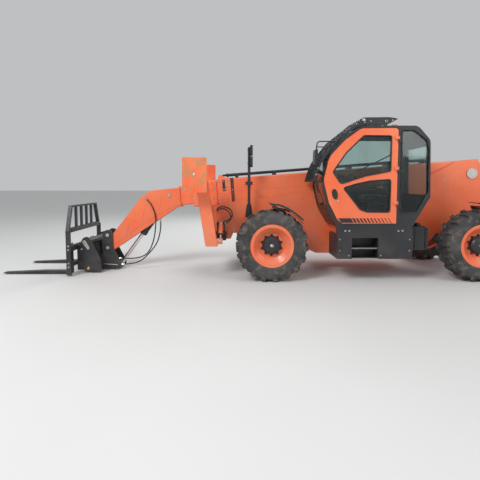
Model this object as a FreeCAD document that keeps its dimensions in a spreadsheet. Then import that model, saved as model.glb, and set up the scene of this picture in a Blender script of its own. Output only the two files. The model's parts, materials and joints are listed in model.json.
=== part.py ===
import FreeCAD, Part
import math
import os
from FreeCAD import Placement, Rotation, Vector

# Telehandler with telescopic boom, fork carriage, front stabilizers and a left-hand cab.
# Millimetres. +X points to the rear, +Y to the right, +Z up. The origin is on the ground under the
# middle of the machine. It stands parked: boom down and retracted, stabilizers folded up.

os.makedirs("parts", exist_ok=True)
doc = FreeCAD.newDocument("Telehandler")
sheet = doc.addObject("Spreadsheet::Sheet", "Sizes")

# Driving sizes: alias, value, what it measures.
SIZES = (
    # Wheels, axles and steering
    ("front_axle_x", 155, "front axle behind the origin"),
    ("wheelbase", 3400, "front axle to rear axle"),
    ("track", 1950, "between tyre middles"),
    ("tyre_radius", 590, "to the lug tips, also the axle height"),
    ("tyre_width", 400, "over the sidewalls"),
    ("lug_height", 26, "tread lugs above the casing"),
    ("shoulder_height", 105, "widest part of the tyre below the tread"),
    ("rim_lip_radius", 353, "outer edge of the rim flange"),
    ("bead_radius", 320, "tyre seat on the rim"),
    ("rim_width", 350, "over both flanges"),
    ("rim_sheet", 10, "rim wall"),
    ("disc_offset", 35, "wheel disc outboard of the tyre middle"),
    ("disc_radius", 190, "flat part of the wheel disc"),
    ("hub_radius", 140, "planetary hub cover"),
    ("hub_reach", 95, "hub cover outboard of the disc"),
    ("spindle_radius", 60, "wheel spindle"),
    ("running_gap", 0.5, "between a shaft and its bore"),
    ("kingpin_y", 700, "kingpin from the middle plane"),
    ("kingpin_radius", 32, "kingpin"),
    ("yoke_gap", 120, "yoke arm above the axle line"),
    ("yoke_arm", 40, "yoke arm thickness"),
    ("axle_radius", 95, "axle tube"),
    ("differential_radius", 175, "axle middle housing"),
    ("steer_arm", 190, "ball joint behind the kingpin"),
    ("steer_rod_radius", 22, "steering rod"),
    # Main frame
    ("frame_gap", 440, "between the two side plates"),
    ("frame_plate", 25, "side plate thickness"),
    ("saddle_z", 700, "lower edge of the side plates over the axles"),
    ("belly_z", 330, "lower edge of the side plates between the axles"),
    ("nose_x", -1000, "front end of the side plates from the front axle"),
    ("frame_tail", 770, "rear end of the side plates from the rear axle"),
    # Boom, measured along and across the boom from its pivot
    ("pivot_x", 300, "boom pivot behind the rear axle"),
    ("pivot_z", 1790, "boom pivot height"),
    ("boom_slope", 4.42, "degrees that the parked boom falls to the front"),
    ("boom_front", 4640, "front end of the base section ahead of the pivot"),
    ("boom_tail", 170, "rear end of the base section behind the pivot"),
    ("boom_top", 255, "top of the base section above the pivot"),
    ("boom_depth", 480, "base section height"),
    ("boom_width", 360, "base section width"),
    ("boom_wall", 10, "base section wall"),
    ("inner_wall", 8, "wall of the inner sections"),
    ("slide_gap_side", 15, "between nested sections at the sides"),
    ("slide_gap_low", 8, "between nested sections below"),
    ("slide_gap_high", 22, "between nested sections above"),
    ("pad_gap", 0.3, "between a wear pad and what slides on it"),
    ("head_step", 235, "pitch of the section heads along the boom"),
    ("head_length", 215, "length of a section head"),
    ("head_side", 14, "head sleeve thickness at the sides and top"),
    ("head_low", 34, "head sleeve thickness below"),
    # Gooseneck, from the front face of section 4's flange
    ("neck_width", 260, "over the neck's side plates"),
    ("neck_plate", 20, "neck side plate"),
    ("neck_boss", 96, "boss round the coupler pin"),
    ("neck_pin_x", -1426, "coupler pin ahead of the flange"),
    ("neck_pin_z", -858, "coupler pin across the boom"),
    ("tilt_base_x", -200, "tilt cylinder pin ahead of the flange"),
    ("tilt_base_z", 27, "tilt cylinder pin across the boom"),
    # Coupler and forks, from the coupler pin, level with the ground
    ("ear_gap", 12, "between the neck and the coupler ears"),
    ("ear_plate", 25, "coupler ear thickness"),
    ("upper_pin_z", 237, "locking pin above the coupler pin"),
    ("tilt_rod_x", 187, "tilt rod pin behind the coupler pin"),
    ("tilt_rod_z", -338, "tilt rod pin below the coupler pin"),
    ("side_plate_y", 455, "outer face of the coupler side plates"),
    ("carriage_face_x", -526, "front face of the fork carriage"),
    ("carriage_depth", 79, "fork carriage front to back"),
    ("carriage_width", 1500, "over the end posts"),
    ("carriage_low", -395, "lower end of the posts"),
    ("carriage_high", 380, "top rail of the carriage"),
    ("guard_high", 810, "top of the load guard"),
    ("fork_length", 1200, "blade ahead of the carriage"),
    ("fork_width", 120, "blade"),
    ("fork_thick", 45, "blade"),
    ("fork_y", 500, "blade middle"),
    # Hydraulic cylinders
    ("lift_base_x", -127, "lift cylinder base pin from the rear axle"),
    ("lift_base_z", 886, "lift cylinder base pin height"),
    ("lift_rod_x", -1983, "lift rod pin along the boom"),
    ("lift_rod_z", -370, "lift rod pin across the boom"),
    ("lift_barrel_length", 1250, "lift barrel from its pin"),
    ("lift_barrel_radius", 85, "lift barrel"),
    ("lift_barrel_eye", 110, "width of the lift barrel's eye"),
    ("lift_rod_start", 92, "inner end of the lift rod from the base pin"),
    ("lift_rod_radius", 48, "lift rod"),
    ("lift_rod_eye", 110, "width of the lift rod's eye"),
    ("lift_eye_radius", 62, "lift cylinder eyes"),
    ("lift_pin_radius", 40, "lift cylinder base pin"),
    ("tilt_barrel_length", 900, "tilt barrel from its pin"),
    ("tilt_barrel_radius", 65, "tilt barrel"),
    ("tilt_barrel_eye", 100, "width of the tilt barrel's eye"),
    ("tilt_rod_start", 560, "inner end of the tilt rod from the base pin"),
    ("tilt_rod_radius", 34, "tilt rod"),
    ("tilt_rod_eye", 90, "width of the tilt rod's eye"),
    ("tilt_eye_radius", 52, "tilt cylinder eyes"),
    ("tilt_pin_radius", 32, "tilt cylinder pins"),
    # Stabilizers
    ("leg_hinge_x", -1013, "leg middle from the front axle"),
    ("leg_hinge_y", 640, "leg hinge from the middle plane"),
    ("leg_hinge_z", 620, "leg hinge height"),
    ("leg_hinge_radius", 25, "leg hinge pin"),
    ("leg_width", 200, "leg box along the machine"),
    ("leg_depth", 150, "leg box across the machine"),
    ("leg_wall", 14, "leg box wall"),
    ("leg_outer_y", 860, "outer face of the leg"),
    ("leg_top_z", 1760, "upper end of the folded leg box"),
    ("leg_lean", 8.6, "degrees that the folded leg leans to the front"),
    ("sole_y", 1150, "face of the folded sole"),
    ("sole_low_z", 1458, "lower edge of the folded sole"),
    ("sole_high_z", 2017, "upper edge of the folded sole"),
    ("sole_width", 395, "sole along the machine"),
    ("sole_shift", 66, "sole middle ahead of the leg's middle line"),
    ("ram_offset_x", 158, "stabilizer cylinder behind the leg's middle"),
    ("ram_base_y", 560, "stabilizer cylinder base pin from the middle plane"),
    ("ram_base_z", 905, "stabilizer cylinder base pin height"),
    ("ram_rod_y", 820, "stabilizer rod pin from the middle plane"),
    ("ram_rod_z", 640, "stabilizer rod pin height"),
    ("stabilizer_barrel_length", 240, "stabilizer barrel from its pin"),
    ("stabilizer_barrel_radius", 38, "stabilizer barrel"),
    ("stabilizer_barrel_eye", 46, "width of the stabilizer barrel's eye"),
    ("stabilizer_rod_start", 53, "inner end of the stabilizer rod from the base pin"),
    ("stabilizer_rod_radius", 20, "stabilizer rod"),
    ("stabilizer_rod_eye", 44, "width of the stabilizer rod's eye"),
    ("stabilizer_eye_radius", 34, "stabilizer cylinder eyes"),
    ("stabilizer_pin_radius", 18, "stabilizer cylinder pins"),
    ("beam_end", 520, "end of the stabilizer beam from the middle plane"),
    ("beam_low_z", 600, "lower face of the stabilizer beam"),
    ("beam_high_z", 740, "upper face of the stabilizer beam"),
    # Cab
    ("cab_inner_y", 260, "inner side of the cab from the middle plane"),
    ("cab_outer_y", 1140, "outer side of the cab from the middle plane"),
    ("cab_wall", 45, "cab frame thickness"),
    ("cab_floor_z", 905, "underside of the cab"),
    ("cab_roof_z", 2516, "top of the cab"),
    ("door_gap", 6, "round the door"),
    ("door_thick", 40, "door"),
    ("glass", 6, "pane thickness"),
    ("hinge_x", 1997, "door hinge from the front axle"),
    ("hinge_y", 1157.5, "door hinge from the middle plane"),
    ("hinge_radius", 13, "door hinge barrel"),
    # Boxes beside the frame
    ("step_low_z", 384, "underside of the step box"),
    ("step_high_z", 758, "top of the step box"),
    ("step_front_x", 1049, "step box from the front axle"),
    ("step_rear_x", 2262, "step box from the front axle"),
    ("step_inner_y", 560, "inner side of the step box"),
    ("tank_outer_y", 900, "outer side of the fuel tank"),
    ("pod_front_x", 810, "engine housing from the front axle"),
    ("pod_rear_x", 2540, "engine housing from the front axle"),
    ("pod_outer_y", 1140, "outer side of the engine hood"),
    ("pod_low_z", 470, "underside of the engine housing"),
    ("pod_top_z", 1350, "top of the engine hood"),
    ("hood_sheet", 8, "engine hood sheet"),
    # Counterweight
    ("weight_length", 212, "counterweight behind the side plates"),
    ("weight_width", 1500, "counterweight"),
    ("tow_hole_radius", 20, "towing pin hole in the counterweight"),
)

for row, (alias, value, meaning) in enumerate(SIZES, start=1):
    sheet.set(f"A{row}", alias)
    sheet.set(f"B{row}", str(value))
    sheet.set(f"C{row}", meaning)
    sheet.setAlias(f"B{row}", alias)
doc.recompute()


class Size:
    """A number together with the sheet expression that gives it."""

    def __init__(self, value, text):
        self.value, self.text = float(value), text

    def __float__(self):
        return self.value

    def __neg__(self):
        return Size(-self.value, f"(0 - {self.text})")

    def __add__(self, other):
        return joined(self, "+", other)

    def __radd__(self, other):
        return joined(other, "+", self)

    def __sub__(self, other):
        return joined(self, "-", other)

    def __rsub__(self, other):
        return joined(other, "-", self)

    def __mul__(self, other):
        return joined(self, "*", other)

    def __rmul__(self, other):
        return joined(other, "*", self)

    def __truediv__(self, other):
        return joined(self, "/", other)


def sized(number):
    """Any number as a Size."""
    return number if isinstance(number, Size) else Size(number, f"({float(number):.6f})")


def joined(left, sign, right):
    left, right = sized(left), sized(right)
    results = {
        "+": left.value + right.value,
        "-": left.value - right.value,
        "*": left.value * right.value,
        "/": left.value / right.value if right.value else 0.0,
    }
    return Size(results[sign], f"({left.text} {sign} {right.text})")


class SheetSizes:
    """Reads a size by its alias."""

    def __getattr__(self, alias):
        return Size(sheet.get(alias), f"Sizes.{alias}")


s = SheetSizes()
LEFT, RIGHT = 1, -1
SIDES = (("left", LEFT), ("right", RIGHT))
LUGS_IN_RING = 18
BARS_IN_GUARD = 8


def fore(x):
    """Distance behind the front axle as a place on the machine."""
    return s.front_axle_x + x


def aft(x):
    """Distance behind the rear axle as a place on the machine."""
    return s.front_axle_x + s.wheelbase + x


def across(side, near, far):
    """Start and end along the leftward normal of the XZ plane, for one side of the machine."""
    return (sized(near), sized(far)) if side == LEFT else (-sized(far), -sized(near))


def new_body(label, at=None, turn=None):
    body = doc.addObject("PartDesign::Body", label)
    body.Label = label
    body.AllowCompound = True
    body.Placement = Placement(at or Vector(), turn or Rotation())
    return body


def origin_plane(body, role):
    return next(item for item in body.Origin.OriginFeatures if item.Role == role)


def outline(*corners):
    """Closed loop of edges. A corner is (u, v), or (u, v, radius) when it is rounded."""
    count = len(corners)
    ends = []
    for place, corner in enumerate(corners):
        here = Vector(corner[0], corner[1], 0)
        if len(corner) == 2:
            ends.append((here, None, here))
            continue
        back = (Vector(*corners[place - 1][:2], 0) - here).normalize()
        onward = (Vector(*corners[(place + 1) % count][:2], 0) - here).normalize()
        half = back.getAngle(onward) / 2
        reach = float(corner[2]) / math.tan(half)
        inward = float(corner[2]) / math.sin(half) - float(corner[2])
        middle = here + (back + onward).normalize() * inward
        ends.append((here + back * reach, middle, here + onward * reach))
    edges = []
    for place, (first, middle, last) in enumerate(ends):
        if middle is not None:
            edges.append(Part.ArcOfCircle(first, middle, last))
        following = ends[(place + 1) % count][0]
        if (following - last).Length > 1e-6:
            edges.append(Part.LineSegment(last, following))
    return edges


def circle(u, v, radius):
    return [Part.Circle(Vector(u, v, 0), Vector(0, 0, 1), float(radius))]


def inset(loop, distance):
    """The loop moved inward by a distance, or outward when it is negative."""
    face = Part.Face(Part.Wire([curve.toShape() for curve in loop]))
    edges = []
    for edge in face.makeOffset2D(-float(distance)).Edges:
        first, last = edge.valueAt(edge.FirstParameter), edge.valueAt(edge.LastParameter)
        if isinstance(edge.Curve, Part.Line):
            edges.append(Part.LineSegment(first, last))
        else:
            middle = edge.valueAt((edge.FirstParameter + edge.LastParameter) / 2)
            edges.append(Part.ArcOfCircle(first, middle, last))
    return edges


def rectangle(u_low, u_high, v_low, v_high, radius=None):
    corners = ((u_low, v_low), (u_high, v_low), (u_high, v_high), (u_low, v_high))
    return outline(*[corner + ((radius,) if radius else ()) for corner in corners])


def draw(body, role, loops, start):
    """Sketch of closed loops, set off from an origin plane along its normal."""
    sketch = body.newObject("Sketcher::SketchObject", body.Label + "_sketch")
    sketch.AttachmentSupport = (origin_plane(body, role), [""])
    sketch.MapMode = "FlatFace"
    sketch.setExpression(".AttachmentOffset.Base.z", sized(start).text)
    for loop in loops:
        for curve in loop:
            sketch.addGeometry(curve, False)
    return sketch


def pad(body, role, loops, start, end):
    """Material between two distances along the plane's normal."""
    feature = body.newObject("PartDesign::Pad", body.Label + "_pad")
    feature.Profile = draw(body, role, loops, start)
    feature.setExpression("Length", (sized(end) - start).text)
    return feature


def pocket(body, role, loops, start, end):
    """Cut between two distances along the plane's normal."""
    feature = body.newObject("PartDesign::Pocket", body.Label + "_pocket")
    feature.Profile = draw(body, role, loops, start)
    feature.Reversed = True
    feature.setExpression("Length", (sized(end) - start).text)
    return feature


def revolve(body, loops):
    """Solid of revolution about the body's Y axis from (radius, y) loops."""
    sketch = draw(body, "XY_Plane", loops, 0)
    feature = body.newObject("PartDesign::Revolution", body.Label + "_revolution")
    feature.Profile = sketch
    feature.ReferenceAxis = (sketch, ["V_Axis"])
    feature.Angle = 360
    return feature


def groove(body, loops):
    """Cut of revolution about the body's Y axis from (radius, y) loops."""
    sketch = draw(body, "XY_Plane", loops, 0)
    feature = body.newObject("PartDesign::Groove", body.Label + "_groove")
    feature.Profile = sketch
    feature.ReferenceAxis = (sketch, ["V_Axis"])
    feature.Angle = 360
    return feature


def box(body, x, y, z, kind="PartDesign::AdditiveBox"):
    """Box between (low, high) pairs."""
    feature = body.newObject(kind, body.Label + "_box")
    for axis, edge, (low, high) in (("x", "Length", x), ("y", "Width", y), ("z", "Height", z)):
        feature.setExpression(f".Placement.Base.{axis}", sized(low).text)
        feature.setExpression(edge, (sized(high) - low).text)
    return feature


def cut_box(body, x, y, z):
    return box(body, x, y, z, "PartDesign::SubtractiveBox")


def bent_tube(body, role, route, radius, start):
    """Round tube along an open route of (u, v) or rounded (u, v, radius) corners."""
    path = draw(body, role, [open_path(*route)], start)
    profile = body.newObject("Sketcher::SketchObject", body.Label + "_profile")
    profile.AttachmentSupport = [(path, "Edge1"), (path, "Vertex1")]
    profile.MapMode = "NormalToEdge"
    profile.addGeometry(circle(0, 0, radius)[0], False)
    feature = body.newObject("PartDesign::AdditivePipe", body.Label + "_tube")
    feature.Profile = profile
    feature.Spine = (path, [])
    return feature


def open_path(*corners):
    """Open chain of edges with rounded corners."""
    loop = outline(*corners)
    return loop[:-1]


# Boom frame: along the boom from its pivot, forward negative
PIVOT = Vector(aft(s.pivot_x), 0, s.pivot_z)
SLOPE = Rotation(Vector(0, 1, 0), -float(s.boom_slope))


def boom_place(x, z):
    """Place on the machine of a point given along and across the boom."""
    return PIVOT + SLOPE.multVec(Vector(x, 0, z))


# Nested boom sections: name, height, top, width and wall, worked out from the base section inward
def nested_sections():
    top, depth, width = s.boom_top, s.boom_depth, s.boom_width
    wall = s.boom_wall
    sections = [(top, top - depth, width, wall)]
    for _ in range(3):
        top = top - wall - s.slide_gap_high
        low = sections[-1][1] + wall + s.slide_gap_low
        width = width - 2 * wall - 2 * s.slide_gap_side
        wall = s.inner_wall
        sections.append((top, low, width, wall))
    return sections


SECTIONS = nested_sections()
FLANGE_X = -(s.boom_front + 3 * s.head_step)


def wheel_places():
    """Name, side, and axle position of each wheel."""
    for end, axle_x in (("front", fore(0)), ("rear", aft(0))):
        for side_name, side in SIDES:
            yield f"{end}_{side_name}", side, axle_x


def tyre(name, side, axle_x):
    """Casing with two staggered rings of slanted lugs, trimmed to the tips and the shoulders."""
    body = new_body(f"tyre_{name}", Vector(axle_x, -side * float(s.track) / 2, s.tyre_radius))
    half, lip, seat = s.tyre_width / 2, s.rim_lip_radius + 4, s.bead_radius + s.pad_gap
    rim_half = s.rim_width / 2
    tip, tread = s.tyre_radius, s.tyre_radius - s.lug_height
    flank = tread - s.shoulder_height
    profile = outline(
        (seat, -rim_half + 14), (lip, -rim_half + 14), (lip, -rim_half - 4), (lip + 34, -half + 4),
        (flank, -half), (tread - 32, -half + 16), (tread, -half + 70), (tread, half - 70),
        (tread - 32, half - 16), (flank, half), (lip + 34, half - 4), (lip, rim_half + 4),
        (lip, rim_half - 14), (seat, rim_half - 14))
    revolve(body, [profile])
    # Plan of one lug, (round the tread, towards the shoulder), from its inner end outward
    plan = ((-28, 16), (22, -8), (88, half + 10), (12, half + 10))
    for hand, turn in ((1, 0), (-1, 180 / LUGS_IN_RING)):
        lug = outline(*[(u * side, hand * float(v)) for u, v in plan])
        lug_ring(body, lug, turn, flank + 20, tip + 10)
        trim = outline(
            (tip, -hand * 20), (tip + 40, -hand * 20), (tip + 40, hand * (half + 30)),
            (flank, hand * (half + 30)), (flank, hand * half), (tip - 16, hand * (half - 12)),
            (tip, hand * (half - 34)))
        groove(body, [trim])
    return body


def lug_ring(body, lug, turn, low, high):
    """One lug between two radii, turned to its first place, and its copies round the axle."""
    feature = pad(body, "XY_Plane", [lug], low, high)
    sketch = feature.Profile[0]
    angle = math.radians(turn)
    sketch.AttachmentOffset = Placement(Vector(), Rotation(Vector(0, 1, 0), turn))
    sketch.setExpression(".AttachmentOffset.Base.x", (low * math.sin(angle)).text)
    sketch.setExpression(".AttachmentOffset.Base.z", (low * math.cos(angle)).text)
    ring = body.newObject("PartDesign::PolarPattern", body.Label + "_ring")
    ring.Originals = [feature]
    ring.Axis = (origin_plane(body, "Y_Axis"), [""])
    ring.Angle = 360
    ring.Occurrences = LUGS_IN_RING
    body.Tip = ring


def rim(name, side, axle_x):
    """Deep dished rim with its disc and the planetary hub that it is bolted to."""
    body = new_body(f"rim_{name}", Vector(axle_x, -side * float(s.track) / 2, s.tyre_radius))
    out = -side
    half, sheet_ = s.rim_width / 2, s.rim_sheet
    disc, lip, seat = s.disc_offset, s.rim_lip_radius, s.bead_radius

    def loop(*corners):
        return outline(*[(corner[0], out * float(corner[1])) + corner[2:] for corner in corners])

    barrel = loop(
        (lip, half), (lip, half - 8), (seat, half - 14), (seat, -half + 14), (lip, -half + 8),
        (lip, -half), (seat - sheet_, -half + 6), (seat - sheet_, half - 40),
        (seat - 10 - sheet_, half - 6), (lip - 18, half))
    dish = loop(
        (seat - sheet_, half - 60), (s.disc_radius + 6, disc), (s.hub_radius - 20, disc),
        (s.hub_radius - 20, disc - 16), (s.disc_radius - 4, disc - 16), (seat - sheet_, half - 82))
    bore = s.spindle_radius + s.running_gap
    hub = loop(
        (0, disc + s.hub_reach), (55, disc + s.hub_reach), (s.hub_radius - 25, disc + s.hub_reach - 14),
        (s.hub_radius, disc + s.hub_reach - 40), (s.hub_radius, disc), (s.hub_radius, disc - 16),
        (s.hub_radius + 14, disc - 16), (s.hub_radius + 14, disc - 40), (125, disc - 60),
        (125, -105), (bore, -105), (bore, -10), (0, -10))
    for profile in (barrel, dish, hub):
        revolve(body, [profile])
    return body


def knuckle(name, side, axle_x):
    """Steering knuckle with kingpins, spindle, steering arm and the mudguard that turns with it."""
    at = Vector(axle_x, -side * float(s.kingpin_y), s.tyre_radius)
    body = new_body(f"knuckle_{name}", at)
    pin_reach = s.yoke_gap + s.yoke_arm + 10
    core = s.yoke_gap - 5
    pad(body, "XY_Plane", [circle(0, 0, 75)], -core, core)
    pad(body, "XY_Plane", [circle(0, 0, s.kingpin_radius)], -pin_reach, pin_reach)
    trumpet_end = s.track / 2 - s.kingpin_y - 120
    pad(body, "XZ_Plane", [circle(0, 0, 95)], *across(side, 0, trumpet_end))
    spindle_end = s.track / 2 - s.kingpin_y - 15
    pad(body, "XZ_Plane", [circle(0, 0, s.spindle_radius)], *across(side, trumpet_end, spindle_end))
    arm = outline((0, -25), (s.steer_arm, -25), (s.steer_arm + 30, 0, 24), (s.steer_arm, 25), (0, 25))
    pad(body, "XY_Plane", [arm], -62, -34)
    pad(body, "XY_Plane", [circle(s.steer_arm, 0, 18)], -34, -30)
    mudguard(body, side)
    return body


def shrunk(points, depth):
    """The points moved towards the wheel's middle, in reverse order."""
    lengths = [math.hypot(x, z) for x, z in points]
    return [(x * (1 - depth / length), z * (1 - depth / length))
            for (x, z), length in zip(reversed(points), reversed(lengths))]


def mudguard(body, side):
    """Bent sheet over the tyre's trailing side, on tubes from an upright on the steering arm."""
    middle = s.track / 2 - s.kingpin_y
    near, far = middle - s.tyre_width / 2, middle + s.tyre_width / 2
    sheet_top = ((-41, 700), (116, 681), (260, 623), (392, 532), (508, 434))
    for depth, start in ((8, near), (30, far - 8)):
        pad(body, "XZ_Plane", [outline(*sheet_top, *shrunk(sheet_top, depth))], *across(side, start, far))
    reach = float(s.tyre_radius) + 32
    strap_top = [(reach * math.cos(math.radians(angle)), reach * math.sin(math.radians(angle)))
                 for angle in (88.5, 72, 60, 48, 36.5)]
    strap = outline(*strap_top, *shrunk(strap_top, 10))
    pad(body, "XZ_Plane", [strap], *across(side, far - 35, far))
    for x, z, top in ((46, 625, 684), (277, 562, 604)):
        pad(body, "XZ_Plane", [circle(x, z, 14)], *across(side, 5, far))
        pad(body, "XZ_Plane", [rectangle(x - 10, x + 10, z - 10, top)], *across(side, far - 35, far))
    plate = outline((108, 500), (140, 500), (290, 548), (290, 577), (140, 600), (60, 640), (32, 640),
                    (32, 610))
    pad(body, "XZ_Plane", [plate], *across(side, 5, 17))
    box(body, (108, 140), (-15, 15), (-40, 590))


def axle(end, axle_x):
    """Axle beam with its middle housing, frame saddles and kingpin yokes."""
    body = new_body(f"{end}_axle", Vector(axle_x, 0, s.tyre_radius))
    big, tube, wall_y = s.differential_radius, s.axle_radius, s.kingpin_y - 140
    profile = outline(
        (0, -wall_y), (tube + 15, -wall_y), (tube, -wall_y + 60), (tube, -212), (big, -140, 40),
        (big, 140, 40), (tube, 212), (tube, wall_y - 60), (tube + 15, wall_y), (0, wall_y))
    revolve(body, [profile])
    arm_low, arm_high = s.yoke_gap, s.yoke_gap + s.yoke_arm
    saddle_high = s.saddle_z - s.tyre_radius
    pad_y = s.frame_gap / 2
    for side in (LEFT, RIGHT):
        wall = rectangle(-70, 70, -arm_high, arm_high, 15)
        pad(body, "XZ_Plane", [wall], *across(side, wall_y, wall_y + 40))
        tip = s.kingpin_y
        for low, high in ((arm_low, arm_high), (-arm_high, -arm_low)):
            yoke = outline(
                (-70, -side * (float(wall_y) + 10)), (70, -side * (float(wall_y) + 10)),
                (70, -side * (float(tip) + 60), 55), (-70, -side * (float(tip) + 60), 55))
            pad(body, "XY_Plane", [yoke], low, high)
            hole = circle(0, -side * float(tip), s.kingpin_radius + s.running_gap)
            pocket(body, "XY_Plane", [hole], sized(low) - 1, sized(high) + 1)
        saddle = outline((-150, 0), (150, 0), (150, saddle_high), (-150, saddle_high))
        pad(body, "XZ_Plane", [saddle], *across(side, pad_y - 30, pad_y + s.frame_plate + 30))
    barrel_x = s.steer_arm
    pad(body, "XZ_Plane", [circle(barrel_x, 0, 45)], -190, 190)
    box(body, (60, barrel_x), (-60, 60), (-30, 30))
    pocket(body, "XZ_Plane", [circle(barrel_x, 0, s.steer_rod_radius + s.running_gap)], -200, 200)
    return body


def steering_rod(end, axle_x):
    """Double-ended steering rod with its ball eyes over the knuckle arms."""
    body = new_body(f"steering_rod_{end}", Vector(axle_x + s.steer_arm, 0, s.tyre_radius))
    reach = s.kingpin_y
    pad(body, "XZ_Plane", [circle(0, 0, s.steer_rod_radius)], -reach, reach)
    for side in (LEFT, RIGHT):
        pad(body, "XY_Plane", [circle(0, -side * float(reach), 42)], -24, 24)
    return body


def frame_side(name, side):
    """One long side plate of the main frame, arched over both axles."""
    body = new_body(f"frame_side_{name}")
    nose, low = fore(s.nose_x), s.saddle_z
    pivot_x, pivot_z = aft(s.pivot_x), s.pivot_z
    tail = aft(s.frame_tail)
    plate = outline(
        (nose, s.beam_high_z), (fore(-771), s.beam_high_z), (fore(-771), 592), (fore(-690), 592, 30),
        (fore(-645), low), (fore(300), low), (fore(560), 465, 60), (fore(886), s.belly_z, 60),
        (aft(-800), s.belly_z, 60), (aft(-440), 540, 60), (aft(-300), low), (aft(300), low),
        (aft(440), 560, 60), (tail, 560), (tail, 1180, 60), (pivot_x + 230, pivot_z - 260, 90),
        (pivot_x + 230, pivot_z + 230, 210), (pivot_x - 230, pivot_z + 230, 200),
        (aft(-500), 1740, 200), (fore(1500), 1560, 300), (fore(711), 1475, 200), (fore(0), 1345, 200),
        (fore(-377), 1330, 200), (fore(-790), 1249, 120), (nose, 1187))
    gap = s.frame_gap / 2
    pad(body, "XZ_Plane", [plate], *across(side, gap, gap + s.frame_plate))
    pocket(body, "XZ_Plane", [circle(pivot_x, pivot_z, 70 + s.running_gap)],
           *across(side, gap - 1, gap + s.frame_plate + 1))
    return body


def frame_crossmembers():
    """What ties the two side plates: belly plate, cross boxes, cylinder pin and cab outriggers."""
    body = new_body("frame_crossmembers")
    half = s.frame_gap / 2
    box(body, (fore(950), aft(-860)), (-half, half), (s.belly_z + 5, s.belly_z + 20))
    for x_low, x_high, z_low, z_high in (
            (fore(-640), fore(-440), 760, 960),
            (fore(320), fore(480), 620, 800),
            (aft(-700), aft(-560), 480, 640),
            (aft(s.frame_tail) - 120, aft(s.frame_tail) - 20, 620, 1080)):
        box(body, (x_low, x_high), (-half, half), (z_low, z_high))
    pad(body, "XZ_Plane", [circle(aft(s.lift_base_x), s.lift_base_z, s.lift_pin_radius)], -half, half)
    outer = half + s.frame_plate
    for x_low in (fore(1120), fore(2080)):
        box(body, (x_low, x_low + 110), (-(s.cab_outer_y - 60), -outer), (s.step_high_z, s.cab_floor_z))
    return body


def boom_pivot_pin():
    body = new_body("boom_pivot_pin")
    reach = s.frame_gap / 2 + s.frame_plate + 20
    pad(body, "XZ_Plane", [circle(aft(s.pivot_x), s.pivot_z, 70)], -reach, reach)
    for side in (LEFT, RIGHT):
        cap = circle(aft(s.pivot_x), s.pivot_z, 95)
        pad(body, "XZ_Plane", [cap], *across(side, s.frame_gap / 2 + s.frame_plate, reach))
    return body


def section_tube(body, front, tail, level):
    """Hollow box of a boom section between two places along the boom."""
    top, low, width, wall = SECTIONS[level]
    half = width / 2
    outer = rectangle(-half, half, low, top, 28)
    inner = rectangle(-half + wall, half - wall, low + wall, top - wall, 20)
    pad(body, "YZ_Plane", [outer, inner], front, tail)


def section_head(body, front, length, level):
    """Sleeve round the front end of a boom section, with lifting lugs on top."""
    top, low, width, wall = SECTIONS[level]
    half = width / 2
    outer = rectangle(-half - s.head_side, half + s.head_side, low - s.head_low, top + s.head_side, 20)
    inner = rectangle(-half + wall, half - wall, low + wall, top - wall, 20)
    pad(body, "YZ_Plane", [outer, inner], front, front + length)
    crest = top + s.head_side
    for side in (LEFT, RIGHT):
        lug = outline(
            (front + 20, crest - 4), (front + 150, crest - 4), (front + 150, crest + 8),
            (front + 90, crest + 60, 28), (front + 40, crest + 60, 28), (front + 20, crest + 8))
        pad(body, "XZ_Plane", [lug], *across(side, half - 50, half - 30))


def wear_pads(body, level, front, tail):
    """Pads that carry the next section at this section's mouth, and this one's tail in its outer."""
    top, low, width, wall = SECTIONS[level]
    if level < 3:
        inner_top, inner_low, inner_width, _ = SECTIONS[level + 1]
        reach = inner_width / 2 - 40
        box(body, (front + 10, front + 170), (-reach, reach), (low + wall - 1, inner_low - s.pad_gap))
        box(body, (front + 10, front + 170), (-reach, reach), (inner_top + s.pad_gap, top - wall + 1))
    if level > 0:
        outer_top, outer_low, outer_width, outer_wall = SECTIONS[level - 1]
        reach = width / 2 - 40
        box(body, (tail - 170, tail - 10), (-reach, reach), (top - 1, outer_top - outer_wall - s.pad_gap))
        box(body, (tail - 170, tail - 10), (-reach, reach), (outer_low + outer_wall + s.pad_gap, low + 1))


def boom_base():
    """Base section of the boom, pivoted on the frame and raised by the lift cylinder."""
    body = new_body("boom_base", PIVOT, SLOPE)
    front, tail = -s.boom_front, s.boom_tail
    section_tube(body, front, tail, 0)
    section_head(body, front, s.head_length + 30, 0)
    wear_pads(body, 0, front, tail)
    top, low, width, wall = SECTIONS[0]
    half = width / 2
    reach = s.frame_gap / 2 - 5
    boss = circle(0, 0, 120)
    for side in (LEFT, RIGHT):
        pad(body, "XZ_Plane", [boss], *across(side, half - 10, reach))
        lug = outline(
            (s.lift_rod_x - 190, low + 2), (s.lift_rod_x + 190, low + 2),
            (s.lift_rod_x + 70, s.lift_rod_z - 70, 65), (s.lift_rod_x - 70, s.lift_rod_z - 70, 65))
        pad(body, "XZ_Plane", [lug], *across(side, 70, 100))
        head = circle(s.lift_rod_x, s.lift_rod_z, 42)
        pad(body, "XZ_Plane", [head], *across(side, 98, 118))
    pocket(body, "XZ_Plane", [circle(0, 0, 70 + s.running_gap)], -reach - 1, reach + 1)
    return body


def boom_pipes():
    """Hydraulic pipes along the top of the base section, on their saddles."""
    body = new_body("boom_pipes", PIVOT, SLOPE)
    top = SECTIONS[0][0]
    front, rear = -(s.boom_front - 190), sized(-700)
    for y in (-95, -20, 55):
        pad(body, "YZ_Plane", [circle(y, top + 62, 26)], front, rear)
    for step in range(6):
        x = front + 150 + step * 700
        box(body, (x, x + 60), (-130, 90), (top, top + 62))
    return body


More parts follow.
